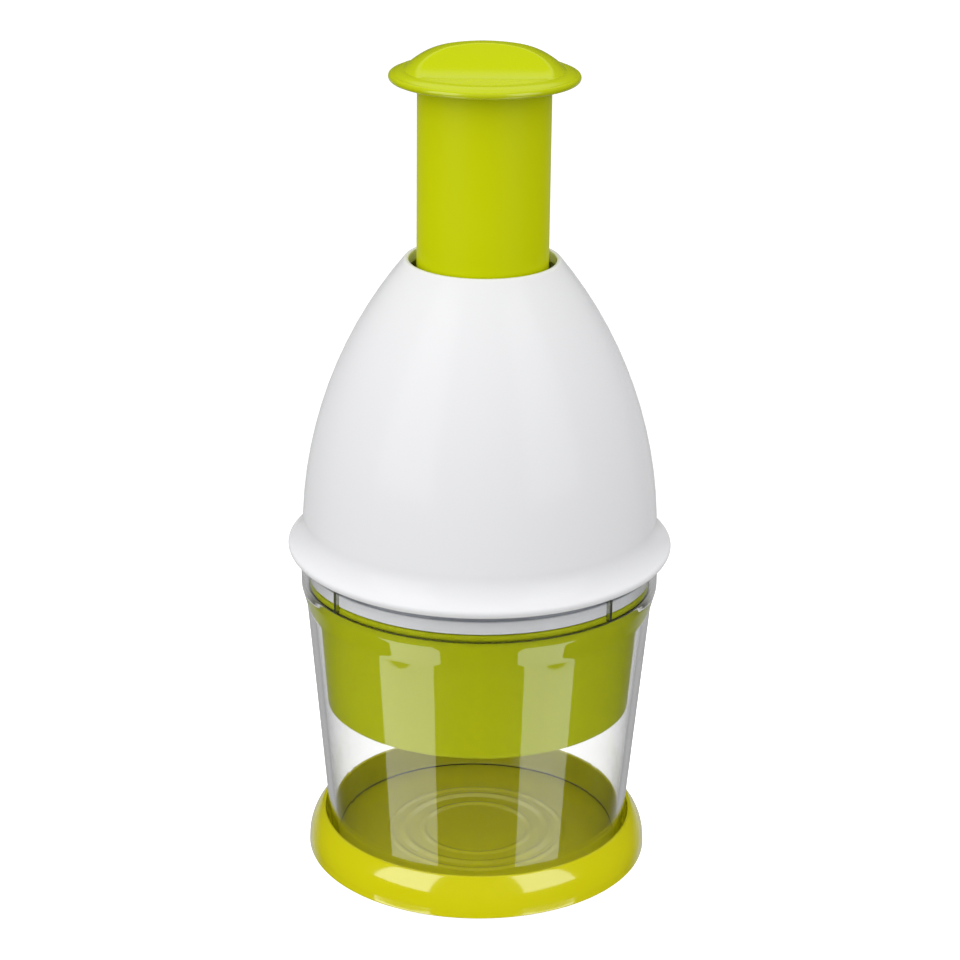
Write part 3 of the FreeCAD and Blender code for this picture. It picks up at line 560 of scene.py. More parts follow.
def run_between(start, end, radius):
    """Points of one edge of an outline, straight or along an arc."""
    if not radius:
        return [start, end]
    chord = end - start
    side = math.copysign(1.0, radius)
    left = Vector((-chord.y, chord.x)).normalized() * side
    half = chord.length / 2
    centre = (start + end) / 2 + left * math.sqrt(max(radius ** 2 - half ** 2, 0.0))
    sweep = 2 * math.asin(min(half / abs(radius), 1.0)) * side
    count = max(2, math.ceil(abs(sweep) / ARC_STEP))
    spoke = start - centre
    return [centre + Matrix.Rotation(sweep * k / count, 2) @ spoke for k in range(count + 1)]


def shortened(run, cut):
    """The run with a length taken off its start."""
    run = list(run)
    while cut > 0 and len(run) > 2 and (run[1] - run[0]).length <= cut:
        cut -= (run[1] - run[0]).length
        run.pop(0)
    if cut > 0:
        run[0] = run[0] + (run[1] - run[0]).normalized() * cut
    return run


def supported(run):
    """The run with one more point close to its start, where there is room."""
    if (run[1] - run[0]).length > 3 * SUPPORT:
        run = [run[0], run[0] + (run[1] - run[0]).normalized() * SUPPORT] + run[1:]
    return run


def bend_at(point, coming, going, radius):
    """How far a rounding reaches back from its corner, and its points."""
    turn = coming.angle(going)
    reach = radius * math.tan(turn / 2)
    handle = radius * 4 / 3 * math.tan(turn / 4)
    first = point - coming * reach
    last = point + going * reach
    count = max(3, math.ceil(turn / ROUND_STEP))
    places = []
    for k in range(count + 1):
        t = k / count
        places.append(first * (1 - t) ** 3 + (first + coming * handle) * 3 * t * (1 - t) ** 2
                      + (last - going * handle) * 3 * t * t * (1 - t) + last * t ** 3)
    return reach, places


def outline(corners, closed=True):
    """Points of an outline as (x, y, edge), where edge is 1 on the rounded corners."""
    count = len(corners)
    runs = []
    for index in range(count if closed else count - 1):
        start, _, arc = corners[index]
        runs.append(run_between(start, corners[(index + 1) % count][0], arc))
    bends = {}
    for index, (point, rounding, _) in enumerate(corners):
        if not rounding:
            continue
        before = runs[index - 1]
        after = runs[index % len(runs)]
        coming = (before[-1] - before[-2]).normalized()
        going = (after[1] - after[0]).normalized()
        bends[index] = bend_at(point, coming, going, rounding)
    points = []
    for index, run in enumerate(runs):
        if index in bends:
            reach, places = bends[index]
            run = shortened(run, reach)
            points += [(p.x, p.y, 1.0) for p in places[:-1]]
        following = (index + 1) % count
        if following in bends:
            run = shortened(run[::-1], bends[following][0])[::-1]
        run = supported(supported(run)[::-1])[::-1]
        points += [(p.x, p.y, 0.0) for p in run[:-1]]
    if not closed:
        last = corners[-1][0]
        points.append((last.x, last.y, 0.0))
    return points


# ---------- mesh making

def mesh_object(name, vertices, faces, material, edge=None):
    """Smooth-shaded piece from points in mm, with its sharp corners kept and its edge mask stored."""
    mesh = bpy.data.meshes.new(name)
    mesh.from_pydata((np.asarray(vertices, float) * MM).tolist(), [], faces)
    mesh.shade_smooth()
    mesh.set_sharp_from_angle(angle=SHARP)
    if edge is not None:
        mask = mesh.attributes.new("edge", "FLOAT", "POINT")
        mask.data.foreach_set("value", np.asarray(edge, np.float32))
    mesh.materials.append(MATERIALS[material])
    piece = bpy.data.objects.new(name, mesh)
    bpy.context.scene.collection.objects.link(piece)
    return piece


def full_turn(steps):
    """Angles of the steps of a full turn."""
    return np.linspace(0, 2 * math.pi, steps, endpoint=False)


def turned(name, points, material, angles=None, bend=None):
    """Turn an outline of (radius, height, edge) round Z. bend may move the grid of points."""
    angles = full_turn(AROUND) if angles is None else np.asarray(angles)
    points = np.array(points, float)
    steps = len(angles)
    pole_start = points[0][0] < 1e-6
    pole_end = points[-1][0] < 1e-6
    radius = np.repeat(points[:, 0:1], steps, axis=1)
    height = np.repeat(points[:, 1:2], steps, axis=1)
    turn = np.repeat(angles[None, :], len(points), axis=0)
    if bend:
        radius, height = bend(radius, height, turn)
    grid = np.stack([radius * np.cos(turn), radius * np.sin(turn), height], axis=2)
    vertices = []
    edge = []
    rows = []
    for index in range(len(points)):
        first = len(vertices)
        at_pole = (index == 0 and pole_start) or (index == len(points) - 1 and pole_end)
        places = grid[index, :1] if at_pole else grid[index]
        vertices += places.tolist()
        edge += [points[index][2]] * len(places)
        rows.append([first] * steps if at_pole else list(range(first, first + steps)))
    if not (pole_start or pole_end):
        rows.append(rows[0])
    faces = []
    for low, high in zip(rows, rows[1:]):
        for j in range(steps):
            k = (j + 1) % steps
            ring = [low[j], low[k], high[k], high[j]]
            faces.append(tuple(dict.fromkeys(ring)))
    return mesh_object(name, vertices, faces, material, edge)


def box_mesh(name, low, high, material):
    """Plain closed box, used only to cut with."""
    corners = [(x, y, z) for x in (low[0], high[0]) for y in (low[1], high[1]) for z in (low[2], high[2])]
    faces = [(0, 1, 3, 2), (4, 6, 7, 5), (0, 4, 5, 1), (2, 3, 7, 6), (0, 2, 6, 4), (1, 5, 7, 3)]
    return mesh_object(name, corners, faces, material)


def baked(piece):
    """Turn the piece's modifiers into its plain mesh."""
    bpy.context.view_layer.update()
    evaluated = piece.evaluated_get(bpy.context.evaluated_depsgraph_get())
    mesh = bpy.data.meshes.new_from_object(evaluated)
    piece.modifiers.clear()
    piece.data = mesh
    return piece


def cut_away(piece, tools):
    """Cut each tool out of the piece and remove the tool."""
    for tool in tools:
        cut = piece.modifiers.new("cut", "BOOLEAN")
        cut.operation = "DIFFERENCE"
        cut.solver = "EXACT"
        cut.object = tool
    baked(piece)
    piece.data.shade_smooth()
    piece.data.set_sharp_from_angle(angle=SHARP)
    for tool in tools:
        bpy.data.objects.remove(tool)
    return piece


# ---------- geometry node trees

def repeat_tree():
    """Copies of the piece, evenly spaced round Z."""
    group, tree, source, target = new_group("Repeat Around", "GeometryNodeTree", [
        ("Geometry", "Geometry", None),
        ("Count", "Int", SCREWS),
        ("Material", "Material", None),
    ], [("Geometry", "Geometry")])
    count = source.outputs["Count"]
    places = tree.add("GeometryNodePoints", {"Count": count}).outputs[0]
    share = tree.math("DIVIDE", tree.add("GeometryNodeInputIndex").outputs[0], count)
    turn = tree.add("ShaderNodeCombineXYZ", {"Z": tree.times(share, 2 * math.pi)}).outputs[0]
    copies = tree.add("GeometryNodeInstanceOnPoints", {
        "Points": places,
        "Instance": source.outputs["Geometry"],
        "Rotation": turn,
    }).outputs[0]
    real = tree.add("GeometryNodeRealizeInstances", {0: copies}).outputs[0]
    finished = tree.add("GeometryNodeSetMaterial", {0: real, "Material": source.outputs["Material"]})
    tree.fill(target, {"Geometry": finished.outputs[0]})
    return group


def coil_tree():
    """Compression spring whose end turns lie close together."""
    group, tree, source, target = new_group("Coil Spring", "GeometryNodeTree", [
        ("Geometry", "Geometry", None),
        ("Wire", "Float", SPRING_WIRE * MM),
        ("Radius", "Float", SPRING_RADIUS * MM),
        ("Turns", "Float", float(SPRING_TURNS)),
        ("Low", "Float", SPRING_LOW * MM),
        ("High", "Float", SPRING_TOP * MM),
        ("End Turns", "Float", SPRING_END_TURNS),
        ("Steps Per Turn", "Float", 40.0),
        ("Material", "Material", None),
    ], [("Geometry", "Geometry")])
    wire = source.outputs["Wire"]
    turns = source.outputs["Turns"]
    steps = tree.times(turns, source.outputs["Steps Per Turn"])
    line = tree.add("GeometryNodeCurvePrimitiveLine").outputs[0]
    line = tree.add("GeometryNodeResampleCurve", {"Curve": line, "Count": steps}).outputs[0]
    along = tree.add("GeometryNodeSplineParameter").outputs["Factor"]
    angle = tree.times(turns, 2 * math.pi, along)
    ends = tree.math("DIVIDE", source.outputs["End Turns"], turns)
    rise = tree.math("SUBTRACT", tree.math("SUBTRACT", source.outputs["High"], source.outputs["Low"]), wire)
    tight = tree.math("DIVIDE", wire, tree.times(ends, rise))
    open_part = tree.add("ShaderNodeMapRange", {
        "Value": along,
        "From Min": ends,
        "From Max": tree.math("SUBTRACT", 1.0, ends),
    }).outputs[0]
    share = tree.math("ADD", tree.times(along, tight),
                      tree.times(open_part, tree.math("SUBTRACT", 1.0, tight)))
    height = tree.math("ADD", tree.math("ADD", source.outputs["Low"], tree.math("DIVIDE", wire, 2.0)),
                       tree.times(share, rise))
    place = tree.add("ShaderNodeCombineXYZ", {
        "X": tree.times(source.outputs["Radius"], tree.math("COSINE", angle)),
        "Y": tree.times(source.outputs["Radius"], tree.math("SINE", angle)),
        "Z": height,
    }).outputs[0]
    path = tree.add("GeometryNodeSetPosition", {"Geometry": line, "Position": place}).outputs[0]
    section = tree.add("GeometryNodeCurvePrimitiveCircle", {
        "Resolution": 14,
        "Radius": tree.math("DIVIDE", wire, 2.0),
    })
    body = tree.add("GeometryNodeCurveToMesh", {
        "Curve": path,
        "Profile Curve": section.outputs[0],
        "Fill Caps": True,
    }).outputs[0]
    body = tree.add("GeometryNodeSetShadeSmooth", {0: body}).outputs[0]
    real = tree.add("GeometryNodeRealizeInstances", {0: body}).outputs[0]
    finished = tree.add("GeometryNodeSetMaterial", {0: real, "Material": source.outputs["Material"]})
    tree.fill(target, {"Geometry": finished.outputs[0]})
    return group


REPEAT = repeat_tree()
COIL = coil_tree()


def run_tree(piece, group, **values):
    """Run a geometry tree on the piece with named values, and keep the plain mesh."""
    modifier = piece.modifiers.new(group.name, "NODES")
    modifier.node_group = group
    sockets = {item.name: item.identifier for item in group.interface.items_tree if item.in_out == "INPUT"}
    for name, value in values.items():
        modifier[sockets[name.replace("_", " ")]] = value
    baked(piece)
    piece.data.set_sharp_from_angle(angle=SHARP)
    return piece


# ---------- base and cup

def tray():
    """Foot with a bulging wall that leans in, and three low rings on its floor."""
    rings = []
    for middle, half in TRAY_RINGS:
        rings += [
            corner(middle + half, TRAY_FLOOR, RING_ROUND),
            corner(middle, TRAY_FLOOR + RING_RISE, RING_ROUND),
            corner(middle - half, TRAY_FLOOR, RING_ROUND),
        ]
    return turned("tray", outline([
        corner(0, TRAY_RECESS),
        corner(42.2, TRAY_RECESS, 0.3),
        corner(42.6, 0, 0.25),
        corner(TRAY_FOOT, 0, 0.45),
        corner(TRAY_WALL_FOOT, 1.4, 0.0, TRAY_WALL_ARC),
        corner(TRAY_RIM, TRAY_TOP, 0.45),
        corner(41.4, TRAY_TOP, 0.3),
        corner(40.1, TRAY_FLOOR, 0.5),
        *rings,
        corner(0, TRAY_FLOOR),
    ], closed=False), "green_tray")


def cup_angles():
    """Steps of a turn, with extra ones beside each of the cup's ribs."""
    half = RIB_HALF_WIDTH / COLLAR_BORE
    close = [side * half * factor for side in (-1, 1) for factor in (0.7, 0.85, 1.0, 1.15, 1.4)]
    plain = [angle for angle in full_turn(AROUND)
             if all(abs(math.remainder(angle - rib, 2 * math.pi)) > half * 1.8 for rib in RIB_TURNS)]
    return sorted(plain + [rib + shift for rib in RIB_TURNS for shift in close + [0.0]])


def raise_ribs(radius, height, turn):
    """Push the collar's bore inwards where a rib stands."""
    half = RIB_HALF_WIDTH / COLLAR_BORE
    away = np.min([np.abs(np.angle(np.exp(1j * (turn - rib)))) for rib in RIB_TURNS], axis=0)
    across = np.clip((half * 1.15 - away) / (half * 0.3), 0, 1)
    on_bore = (np.abs(radius - COLLAR_BORE) < 0.05) & (height > LEDGE_HEIGHT) & (height < RIB_TOP)
    return radius - RIB_DEPTH * across * on_bore, height


def cup():
    """Open clear wall that widens upwards to a collar, with a ledge inside it and four upright ribs."""
    return turned("cup", outline([
        corner(CUP_FOOT - CUP_WALL, CUP_LOW, 0.5),
        corner(CUP_FOOT, CUP_LOW, 0.8),
        corner(CUP_SHOULDER, CUP_SHOULDER_HEIGHT, 5.0),
        corner(COLLAR, COLLAR_LOW, 4.0),
        corner(COLLAR, CUP_TOP, 0.7),
        corner(COLLAR_BORE, CUP_TOP, 0.6),
        corner(COLLAR_BORE, RIB_TOP + 0.05),
        corner(COLLAR_BORE, RIB_TOP - 0.25),
        corner(COLLAR_BORE, LEDGE_HEIGHT, 0.45),
        corner(LEDGE_BORE, LEDGE_HEIGHT, 0.5),
        corner(CUP_SHOULDER - CUP_WALL, CUP_SHOULDER_HEIGHT, 4.0),
    ]), "clear_cup", cup_angles(), raise_ribs)


# ---------- head

def notch_tools(low, high, inner, outer):
    """Boxes that cut the notches over the cup's ribs."""
    tools = []
    near = (-NOTCH_HALF_WIDTH, inner, low)
    far = (NOTCH_HALF_WIDTH, outer, high)
    for index, angle in enumerate(RIB_TURNS):
        tool = box_mesh("notch_tool_%d" % index, near, far, "white_inner")
        tool.data.transform(Matrix.Rotation(angle - math.pi / 2, 4, "Z"))
        tools.append(tool)
    return tools


def bell():
    """Egg-shaped housing with a flared flange, and a skirt below it that stands in the cup's collar."""
    piece = turned("bell", outline([
        corner(SKIRT_BORE, SKIRT_LOW, 0.3),
        corner(SKIRT, SKIRT_LOW, 0.4),
        corner(SKIRT, FLANGE_LOW, 0.25),
        corner(49.8, FLANGE_LOW, 2.2),
        corner(50.8, 88.6, 1.0, -9.5),
        corner(BELL_FOOT, BELL_FOOT_HEIGHT, 0.0, BELL_ARC),
        corner(BELL_MOUTH, BELL_TOP, 0.75),
        corner(BELL_BORE, BELL_TOP, 0.35),
        corner(BELL_BORE, 162.6, 0.5, BELL_WALL - BELL_ARC),
        corner(BELL_FOOT - BELL_WALL, BELL_FOOT_HEIGHT),
        corner(SKIRT_BORE, 91.0, 1.0),
    ]), "white_housing")
    return cut_away(piece, notch_tools(low=80.3, high=86.3, inner=42.5, outer=45.5))


def bosses():
    """Posts inside the bell that take the deck's screws."""
    post = turned("bell_bosses", outline([
        corner(0, BOSS_BORE_TOP),
        corner(BOSS_BORE, BOSS_BORE_TOP),
        corner(BOSS_BORE, BOSS_LOW, 0.2),
        corner(BOSS, BOSS_LOW, 0.4),
        corner(BOSS, BOSS_TOP, 0.8),
        corner(0, BOSS_TOP),
    ], closed=False), "white_housing", full_turn(40))
    post.data.transform(Matrix.Translation((0, -BOSS_CIRCLE * MM, 0)))
    return run_tree(post, REPEAT, Count=SCREWS, Material=MATERIALS["white_housing"])


def sleeve():
    """Opaque guard round the blades: its flange rests on the cup's ledge, its lip holds the wiper in."""
    piece = turned("sleeve", outline([
        corner(SLEEVE_LIP, SLEEVE_LOW, 0.35),
        corner(SLEEVE_FOOT, SLEEVE_LOW, 1.6),
        corner(SLEEVE_SHOULDER, SLEEVE_SHOULDER_HEIGHT, 0.2),
        corner(SLEEVE_FLANGE, SLEEVE_SHOULDER_HEIGHT, 0.3),
        corner(SLEEVE_FLANGE, SLEEVE_FLANGE_TOP, 0.45),
        corner(SLEEVE_NECK, SLEEVE_FLANGE_TOP, 0.2),
        corner(SLEEVE_NECK, SLEEVE_TOP, 0.4),
        corner(SLEEVE_NECK - SLEEVE_WALL, SLEEVE_TOP, 0.4),
        corner(SLEEVE_SHOULDER - SLEEVE_WALL, SLEEVE_SHOULDER_HEIGHT),
        corner(SLEEVE_FOOT - SLEEVE_WALL, 44.7, 0.4),
        corner(SLEEVE_LIP, 44.7, 0.35),
    ]), "green_sleeve")
    return cut_away(piece, notch_tools(low=78.4, high=80.5, inner=43.1, outer=45.5))


def spring():
    """Return spring, drawn whole by its node tree."""
    piece = mesh_object("spring", [(0, 0, SPRING_LOW)], [], "spring_steel")
    return run_tree(piece, COIL, Material=MATERIALS["spring_steel"])


# ---------- plunger

def tube():
    """Plunger tube with a web near its top that the rod hangs from."""
    return turned("tube", outline([
        corner(TUBE_BORE, TUBE_LOW, 0.5),
        corner(TUBE, TUBE_LOW, 0.6),
        corner(TUBE, TUBE_TOP, 0.4),
        corner(TUBE_BORE, TUBE_TOP, 0.3),
        corner(TUBE_BORE, WEB_TOP),
        corner(WEB_BORE, WEB_TOP, 0.2),
        corner(WEB_BORE, WEB_LOW, 0.2),
        corner(TUBE_BORE, WEB_LOW, 0.5),
    ]), "green_plastic")


def dome_height(radius):
    """Height of the knob's crown without its scoops: a shallow cap, then a rounder shoulder."""
    brow_height = KNOB_TOP - KNOB_BROW ** 2 / (2 * KNOB_CROWN_ARC)
    brow = Vector((KNOB_BROW, brow_height))
    brim = Vector((KNOB_BRIM, KNOB_BRIM_HEIGHT))
    chord = brim - brow
    inward = Vector((chord.y, -chord.x)).normalized()
    centre = (brow + brim) / 2 + inward * math.sqrt(KNOB_BROW_ARC ** 2 - (chord.length / 2) ** 2)
    cap = KNOB_TOP - radius ** 2 / (2 * KNOB_CROWN_ARC)
    across = np.clip(radius, KNOB_BROW, KNOB_BRIM) - centre.x
    shoulder = centre.y + np.sqrt(KNOB_BROW_ARC ** 2 - across ** 2)
    return np.where(radius < KNOB_BROW, cap, shoulder)


def scoop_height(distance, radius):
    """Height of a scoop at a distance from the knob's middle: steep first, then a flat floor with a lip."""
    share = np.clip((SCOOP_END - distance) / (SCOOP_END - SCOOP_START), 0, None)
    lip = np.clip((radius - GROOVE_START) / (KNOB_BRIM - GROOVE_START), 0, 1)
    floor = SCOOP_FLOOR + (KNOB_BRIM_HEIGHT - SCOOP_FLOOR) * lip * lip * (3 - 2 * lip)
    return floor + (SCOOP_START_HEIGHT - SCOOP_FLOOR) * share ** SCOOP_CURVE


def knob():
    """Palm button whose crown has a broad scoop at the front and one at the back."""
    lower = outline([
        corner(0, KNOB_SOCKET_FLOOR),
        corner(KNOB_SOCKET_BORE, KNOB_SOCKET_FLOOR, 0.8),
        corner(KNOB_SOCKET_BORE, KNOB_SOCKET_LOW, 0.3),
        corner(KNOB_SOCKET, KNOB_SOCKET_LOW, 0.4),
        corner(KNOB_SOCKET, KNOB_EDGE_HEIGHT - KNOB_EDGE_ROUND, 0.4),
        corner(KNOB_EDGE, KNOB_EDGE_HEIGHT - KNOB_EDGE_ROUND, 0.0, KNOB_EDGE_ROUND),
        corner(KNOB_EDGE + KNOB_EDGE_ROUND, KNOB_EDGE_HEIGHT, 0.0, KNOB_EDGE_ROUND),
        corner(KNOB_EDGE, KNOB_EDGE_HEIGHT + KNOB_EDGE_ROUND, 0.0, KNOB_BRIM_ARC),
        corner(KNOB_BRIM, KNOB_BRIM_HEIGHT),
    ], closed=False)[:-1]
    rings = [(radius, KNOB_TOP, 0.0) for radius in np.linspace(KNOB_BRIM, 0.0, CROWN_RINGS)]
    first_ring = len(lower)

    def shape_crown(radius, height, turn):
        ring = radius[first_ring:]
        away = np.abs(ring * np.sin(turn[first_ring:]))
        dome = dome_height(ring)
        scoop = scoop_height(away, ring)
        near = np.clip(1 - np.abs(dome - scoop) / CREST_SOFTNESS, 0, 1)
        height = height.copy()
        height[first_ring:] = np.minimum(dome, scoop) - near ** 2 * CREST_SOFTNESS / 4
        return radius, height

    return turned("knob", lower + rings, "green_knob", bend=shape_crown)


# ---------- screws

def pan_screws(name, circle, seat, length, rise, side):
    """Three pan-head screws round Z, whose heads stand up from the seat (side 1) or down (side -1)."""
    head = turned(name, outline([
        corner(0, -length * side),
        corner(SCREW_TIP, -length * side, 0.2),
        corner(SCREW_SHANK, (SCREW_POINT - length) * side),
        corner(SCREW_SHANK, 0),
        corner(SCREW_HEAD, 0, 0.12),
        corner(SCREW_HEAD, rise * side, 0.6),
        corner(0, rise * side),
    ], closed=False), "steel_fastener", full_turn(36))
    if side < 0:
        head.data.flip_normals()
    low, high = sorted(((rise - RECESS_DEPTH) * side, (rise + 0.5) * side))
    arms = ((RECESS_ARM, RECESS_HALF_WIDTH), (RECESS_HALF_WIDTH, RECESS_ARM))
    cut_away(head, [box_mesh("recess_tool_%d" % index, (-x, -y, low), (x, y, high), "steel_fastener")
                    for index, (x, y) in enumerate(arms)])
    head.data.transform(Matrix.Translation((0, -circle * MM, seat * MM)))
    return run_tree(head, REPEAT, Count=SCREWS, Material=MATERIALS["steel_fastener"])


# ---------- blades

def blade_plan():
    """Centre line of one blade strip, bent to and fro between the inner and the outer circle."""
    points = []
    for index in range(BLADE_VERTICES):
        angle = 2 * math.pi / BLADES * index / (BLADE_VERTICES - 1) - math.pi / 2
        radius = BLADE_INNER if index % 2 == 0 else BLADE_OUTER
        points.append(Vector((radius * math.cos(angle), radius * math.sin(angle))))
    for end, neighbour in ((0, 1), (-1, -2)):
        points[end] = points[end] + (points[neighbour] - points[end]).normalized() * BLADE_END_GAP
    inner = [corner(point.x, point.y, BLADE_BEND) for point in points[1:-1]]
    return outline([corner(*points[0]), *inner, corner(*points[-1])], closed=False)


def blades():
    """Three bent strips with a ground edge, one shape repeated round Z."""
    plan = [Vector(point[:2]) for point in blade_plan()]
    half = BLADE_SHEET / 2
    levels = [
        (BLADE_LOW, BLADE_EDGE / 2),
        (BLADE_LOW + BLADE_BEVEL, half),
        (BLADE_LOW + BLADE_BEVEL + BLADE_BEVEL_ROUND, half),
        (BLADE_TOP, half),
    ]
    vertices = []
    for index, point in enumerate(plan):
        before = (point - plan[index - 1]).normalized() if index else None
        after = (plan[index + 1] - point).normalized() if index < len(plan) - 1 else None
        along = ((before or after) + (after or before)).normalized()
        side = Vector((-along.y, along.x)) / max(along.dot(before or after), 0.5)
        left = [(*(point + side * width), height) for height, width in levels]
        right = [(*(point - side * width), height) for height, width in reversed(levels)]
        vertices += left + right
    ring = 2 * len(levels)
    faces = []
    for low in range(0, ring * (len(plan) - 1), ring):
        high = low + ring
        for k in range(ring):
            m = (k + 1) % ring
            faces.append((low + k, low + m, high + m, high + k))
    faces.append(tuple(range(ring))[::-1])
    faces.append(tuple(range((len(plan) - 1) * ring, len(plan) * ring)))
    piece = mesh_object("blades", vertices, faces, "blade_steel")
    return run_tree(piece, REPEAT, Count=BLADES, Material=MATERIALS["blade_steel"])


# ---------- studio

def lamp(name, place, facing, size, brightness, tint):
    """Rectangular lamp of a given brightness, hidden from the camera."""
    light = bpy.data.lights.new(name, "AREA")
    light.shape = "RECTANGLE"
    light.size, light.size_y = size
    light.energy = math.pi * brightness * size[0] * size[1]
    light.color = tint
    holder = bpy.data.objects.new(name, light)
    holder.location = place
    holder.rotation_euler = Vector(facing).to_track_quat("-Z", "Y").to_euler()
    holder.visible_camera = False
    bpy.context.scene.collection.objects.link(holder)
    return holder


def softbox(side, azimuth, width, brightness, mirrored, in_table, tint):
    """Upright softbox at an azimuth from the front.

    One lamp gives its light, a second its reflection and a third the reflection of its image in the table.
    """
    turn = math.radians(azimuth)
    x = SOFTBOX_DISTANCE * math.sin(turn)
    y = -SOFTBOX_DISTANCE * math.cos(turn)
    facing = (-x, -y, 0)
    light = lamp(side + " softbox", (x * LIGHT_BEHIND, y * LIGHT_BEHIND, SOFTBOX_MIDDLE), facing,
                 (width, SOFTBOX_HEIGHT), brightness, tint)
    light.visible_glossy = False
    top = SOFTBOX_MIDDLE + SOFTBOX_HEIGHT / 2
    for name, low, high, shine in (
        ("reflection", top - SOFTBOX_HEIGHT, top, mirrored),
        ("in the table", -top, TABLE_EDGE, in_table),
    ):
        middle = (x, y, (low + high) / 2)
        image = lamp("%s softbox %s" % (side, name), middle, facing, (width, high - low), shine, tint)
        image.visible_diffuse = False
        image.visible_transmission = False


def studio_world():
    """The room: white to the camera, and its own brightness for dull, mirroring and clear surfaces."""
    world = bpy.data.worlds.new("studio")
    world.use_nodes = True
    world.node_tree.nodes.clear()
    tree = Tree(world.node_tree)
    rays = tree.add("ShaderNodeLightPath").outputs
    direction = tree.add("ShaderNodeTexCoord").outputs["Generated"]
    x, y, z = tree.add("ShaderNodeSeparateXYZ", {0: direction}).outputs
    from_back = tree.math("ABSOLUTE", tree.math("ARCTAN2", x, y))
    elevation = tree.math("ARCSINE", z)

    fill = tree.ramp(z, *FILL_RISE, FILL_BELOW, FILL_ABOVE)
    fill = tree.times(fill, tree.angle_ramp(from_back, FILL_FRONT_SIDES, 1.0, FILL_FRONT))

    sides = tree.angle_ramp(from_back, PANEL_SIDES, 1.0, 0.0)
    foot = tree.angle_ramp(elevation, PANEL_FOOT)
    top = tree.angle_ramp(elevation, PANEL_TOP, 1.0, 0.0)
    panel = tree.times(foot, top, sides)
    mirrored = tree.number_mix(panel, MIRRORED_ROOM, MIRRORED_PANEL)
    table = tree.times(tree.angle_ramp(elevation, TABLE_HORIZON, 1.0, 0.0),
                       tree.angle_ramp(from_back, TABLE_SIDES, 1.0, 0.0))
    mirrored = tree.number_mix(table, mirrored, MIRRORED_TABLE)

    through = tree.angle_ramp(from_back, BACKDROP_SIDES, THROUGH_BACK, THROUGH_SIDE)
    reflected = tree.math("MINIMUM", rays["Glossy Depth"], 1.0)
    straight = tree.times(rays["Is Transmission Ray"], tree.math("SUBTRACT", 1.0, reflected))
    strength = tree.number_mix(straight, mirrored, through)
    spread = tree.math("MINIMUM", rays["Diffuse Depth"], 1.0)
    strength = tree.number_mix(spread, strength, fill)
    strength = tree.number_mix(rays["Is Camera Ray"], strength, 1.0)
    light = tree.add("ShaderNodeBackground", {"Strength": strength, "Color": (1.0, 1.0, 1.0, 1.0)})
    tree.add("ShaderNodeOutputWorld", {"Surface": light.outputs[0]})
    world.cycles.sampling_method = "NONE"
    bpy.context.scene.world = world


def studio_floor():
    """Pale floor that keeps the object's shadow. Lamps, reflections and views from below pass through."""
    mesh = bpy.data.meshes.new("floor")
    corners = ((-1, -1), (1, -1), (1, 1), (-1, 1))
    places = [(x * FLOOR_HALF, y * FLOOR_HALF, FLOOR_LEVEL) for x, y in corners]
    mesh.from_pydata(places, [], [(0, 1, 2, 3)])
    material, tree, shader, output = new_material("pale floor")
    rays = tree.add("ShaderNodeLightPath").outputs
    place = tree.place()
    away = tree.add("ShaderNodeVectorMath", {0: place}, operation="LENGTH").outputs["Value"]
    glow = tree.ramp(away, *FLOOR_GLOW_FADE, *FLOOR_GLOW)
    tree.fill(shader, {
        "Base Color": tree.ramp(away, *FLOOR_PAINT_FADE, *FLOOR_PAINT),
        "Roughness": 0.8,
        "Specular IOR Level": 0.0,
        "Emission Color": (1.0, 1.0, 1.0, 1.0),
        "Emission Strength": tree.times(rays["Is Camera Ray"], glow),
    })
    clear = tree.add("ShaderNodeBsdfTransparent")
    behind = tree.add("ShaderNodeNewGeometry").outputs["Backfacing"]
    spread = tree.math("MINIMUM", rays["Diffuse Depth"], 1.0)
    solid = tree.math("MAXIMUM", rays["Is Camera Ray"], spread)
    solid = tree.times(solid, tree.math("SUBTRACT", 1.0, rays["Is Shadow Ray"]),
                       tree.math("SUBTRACT", 1.0, behind))
    mixed = tree.add("ShaderNodeMixShader", {0: solid, 1: clear.outputs[0], 2: shader.outputs[0]})
    tree.fill(output, {"Surface": mixed.outputs[0]})
    mesh.materials.append(material)
    floor = bpy.data.objects.new("floor", mesh)
    bpy.context.scene.collection.objects.link(floor)


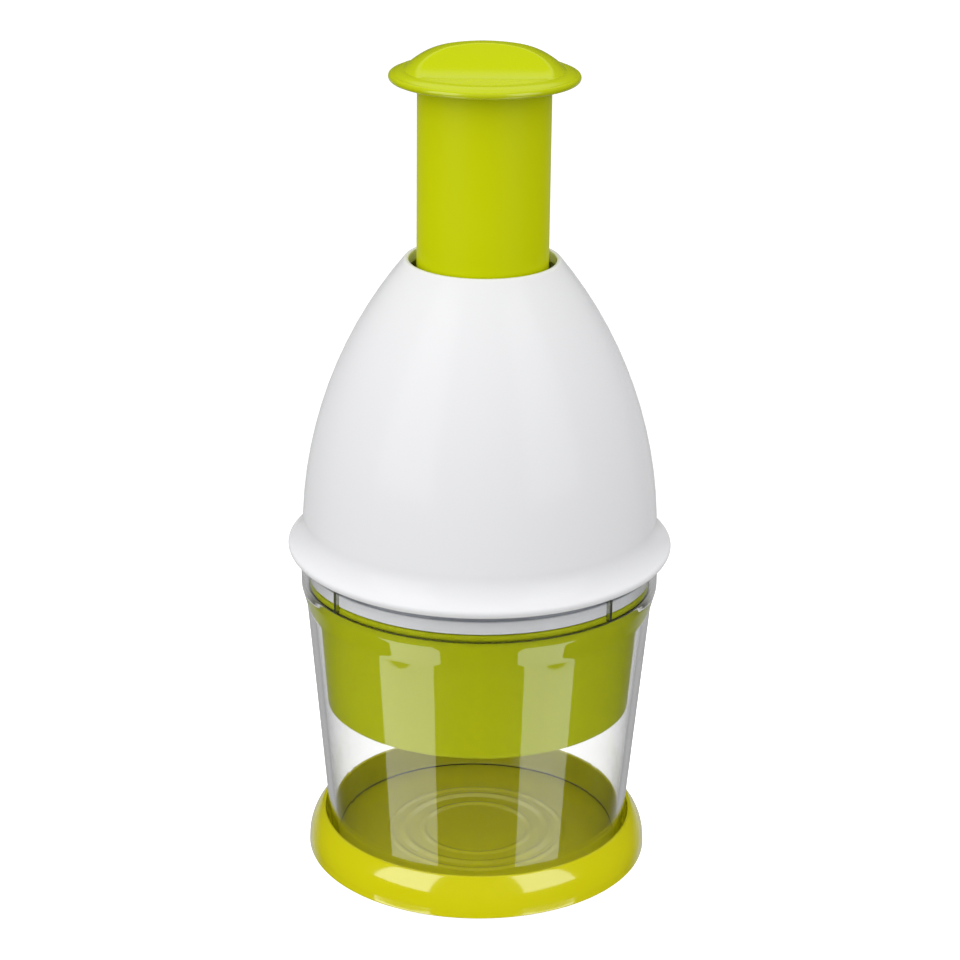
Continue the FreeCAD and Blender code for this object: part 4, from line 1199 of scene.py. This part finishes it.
def camera():
    """Camera in front of the object, looking down on it."""
    lens = bpy.data.cameras.new("camera")
    lens.lens = CAMERA_LENS
    lens.sensor_width = CAMERA_SENSOR
    lens.clip_start = 0.01
    view = bpy.data.objects.new("camera", lens)
    level = math.pi / 2 - CAMERA_PITCH
    turn = (Matrix.Rotation(CAMERA_YAW, 4, "Z") @ Matrix.Rotation(level, 4, "X")
            @ Matrix.Rotation(CAMERA_ROLL, 4, "Z"))
    view.matrix_world = Matrix.Translation(CAMERA_PLACE) @ turn
    bpy.context.scene.collection.objects.link(view)
    bpy.context.scene.camera = view


# ---------- assembly

def place(piece, body, slot, *nodes):
    """Let a piece ride on its body and stand for the nodes it replaces."""
    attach(piece, body)
    if nodes:
        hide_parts(*nodes)


camera()
studio_world()
studio_floor()
softbox("left", -49.5, width=0.36, brightness=0.9, mirrored=2.9, in_table=2.9, tint=(1.0, 1.0, 1.0))
softbox("right", 49, width=0.33, brightness=0.12, mirrored=2.6, in_table=2.8, tint=(0.96, 0.98, 1.0))

SLOT_OF = {part["node"]: part["material_slot"] for part in frame["record"]["subparts"]}
for node, solid in frame["nodes"].items():
    solid.data.materials.clear()
    solid.data.materials.append(MATERIALS[SLOT_OF[node]])

place(tray(), "base", "green_tray", "base_tray")
place(cup(), "cup", "clear_cup", "clear_cup")
place(bell(), "head", "white_housing", "bell_housing")
place(bosses(), "head", "white_housing")
place(sleeve(), "head", "green_plastic", "blade_sleeve")
place(tube(), "plunger", "green_plastic", "plunger_tube")
place(knob(), "plunger", "green_plastic", "plunger_knob")
deck_screws = pan_screws("deck_pan_screws", BOSS_CIRCLE, seat=96.0, length=8.0, rise=1.6, side=-1)
knob_screws = pan_screws("knob_pan_screws", 12.5, seat=WEB_LOW, length=6.0, rise=1.6, side=-1)
hub_screws = pan_screws("hub_pan_screws", 8.3, seat=92.8, length=3.6, rise=1.2, side=1)
place(deck_screws, "head", "steel_fastener", "deck_screws")
place(knob_screws, "plunger", "steel_fastener", "knob_screws")
place(hub_screws, "rotor", "steel_fastener", "hub_screws")
place(blades(), "rotor", "blade_steel", "zigzag_blade_1", "zigzag_blade_2", "zigzag_blade_3")

coil = spring()
place(coil, "head", "spring_steel", "return_spring")
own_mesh(coil)

bpy.context.scene.view_settings.view_transform = "Standard"
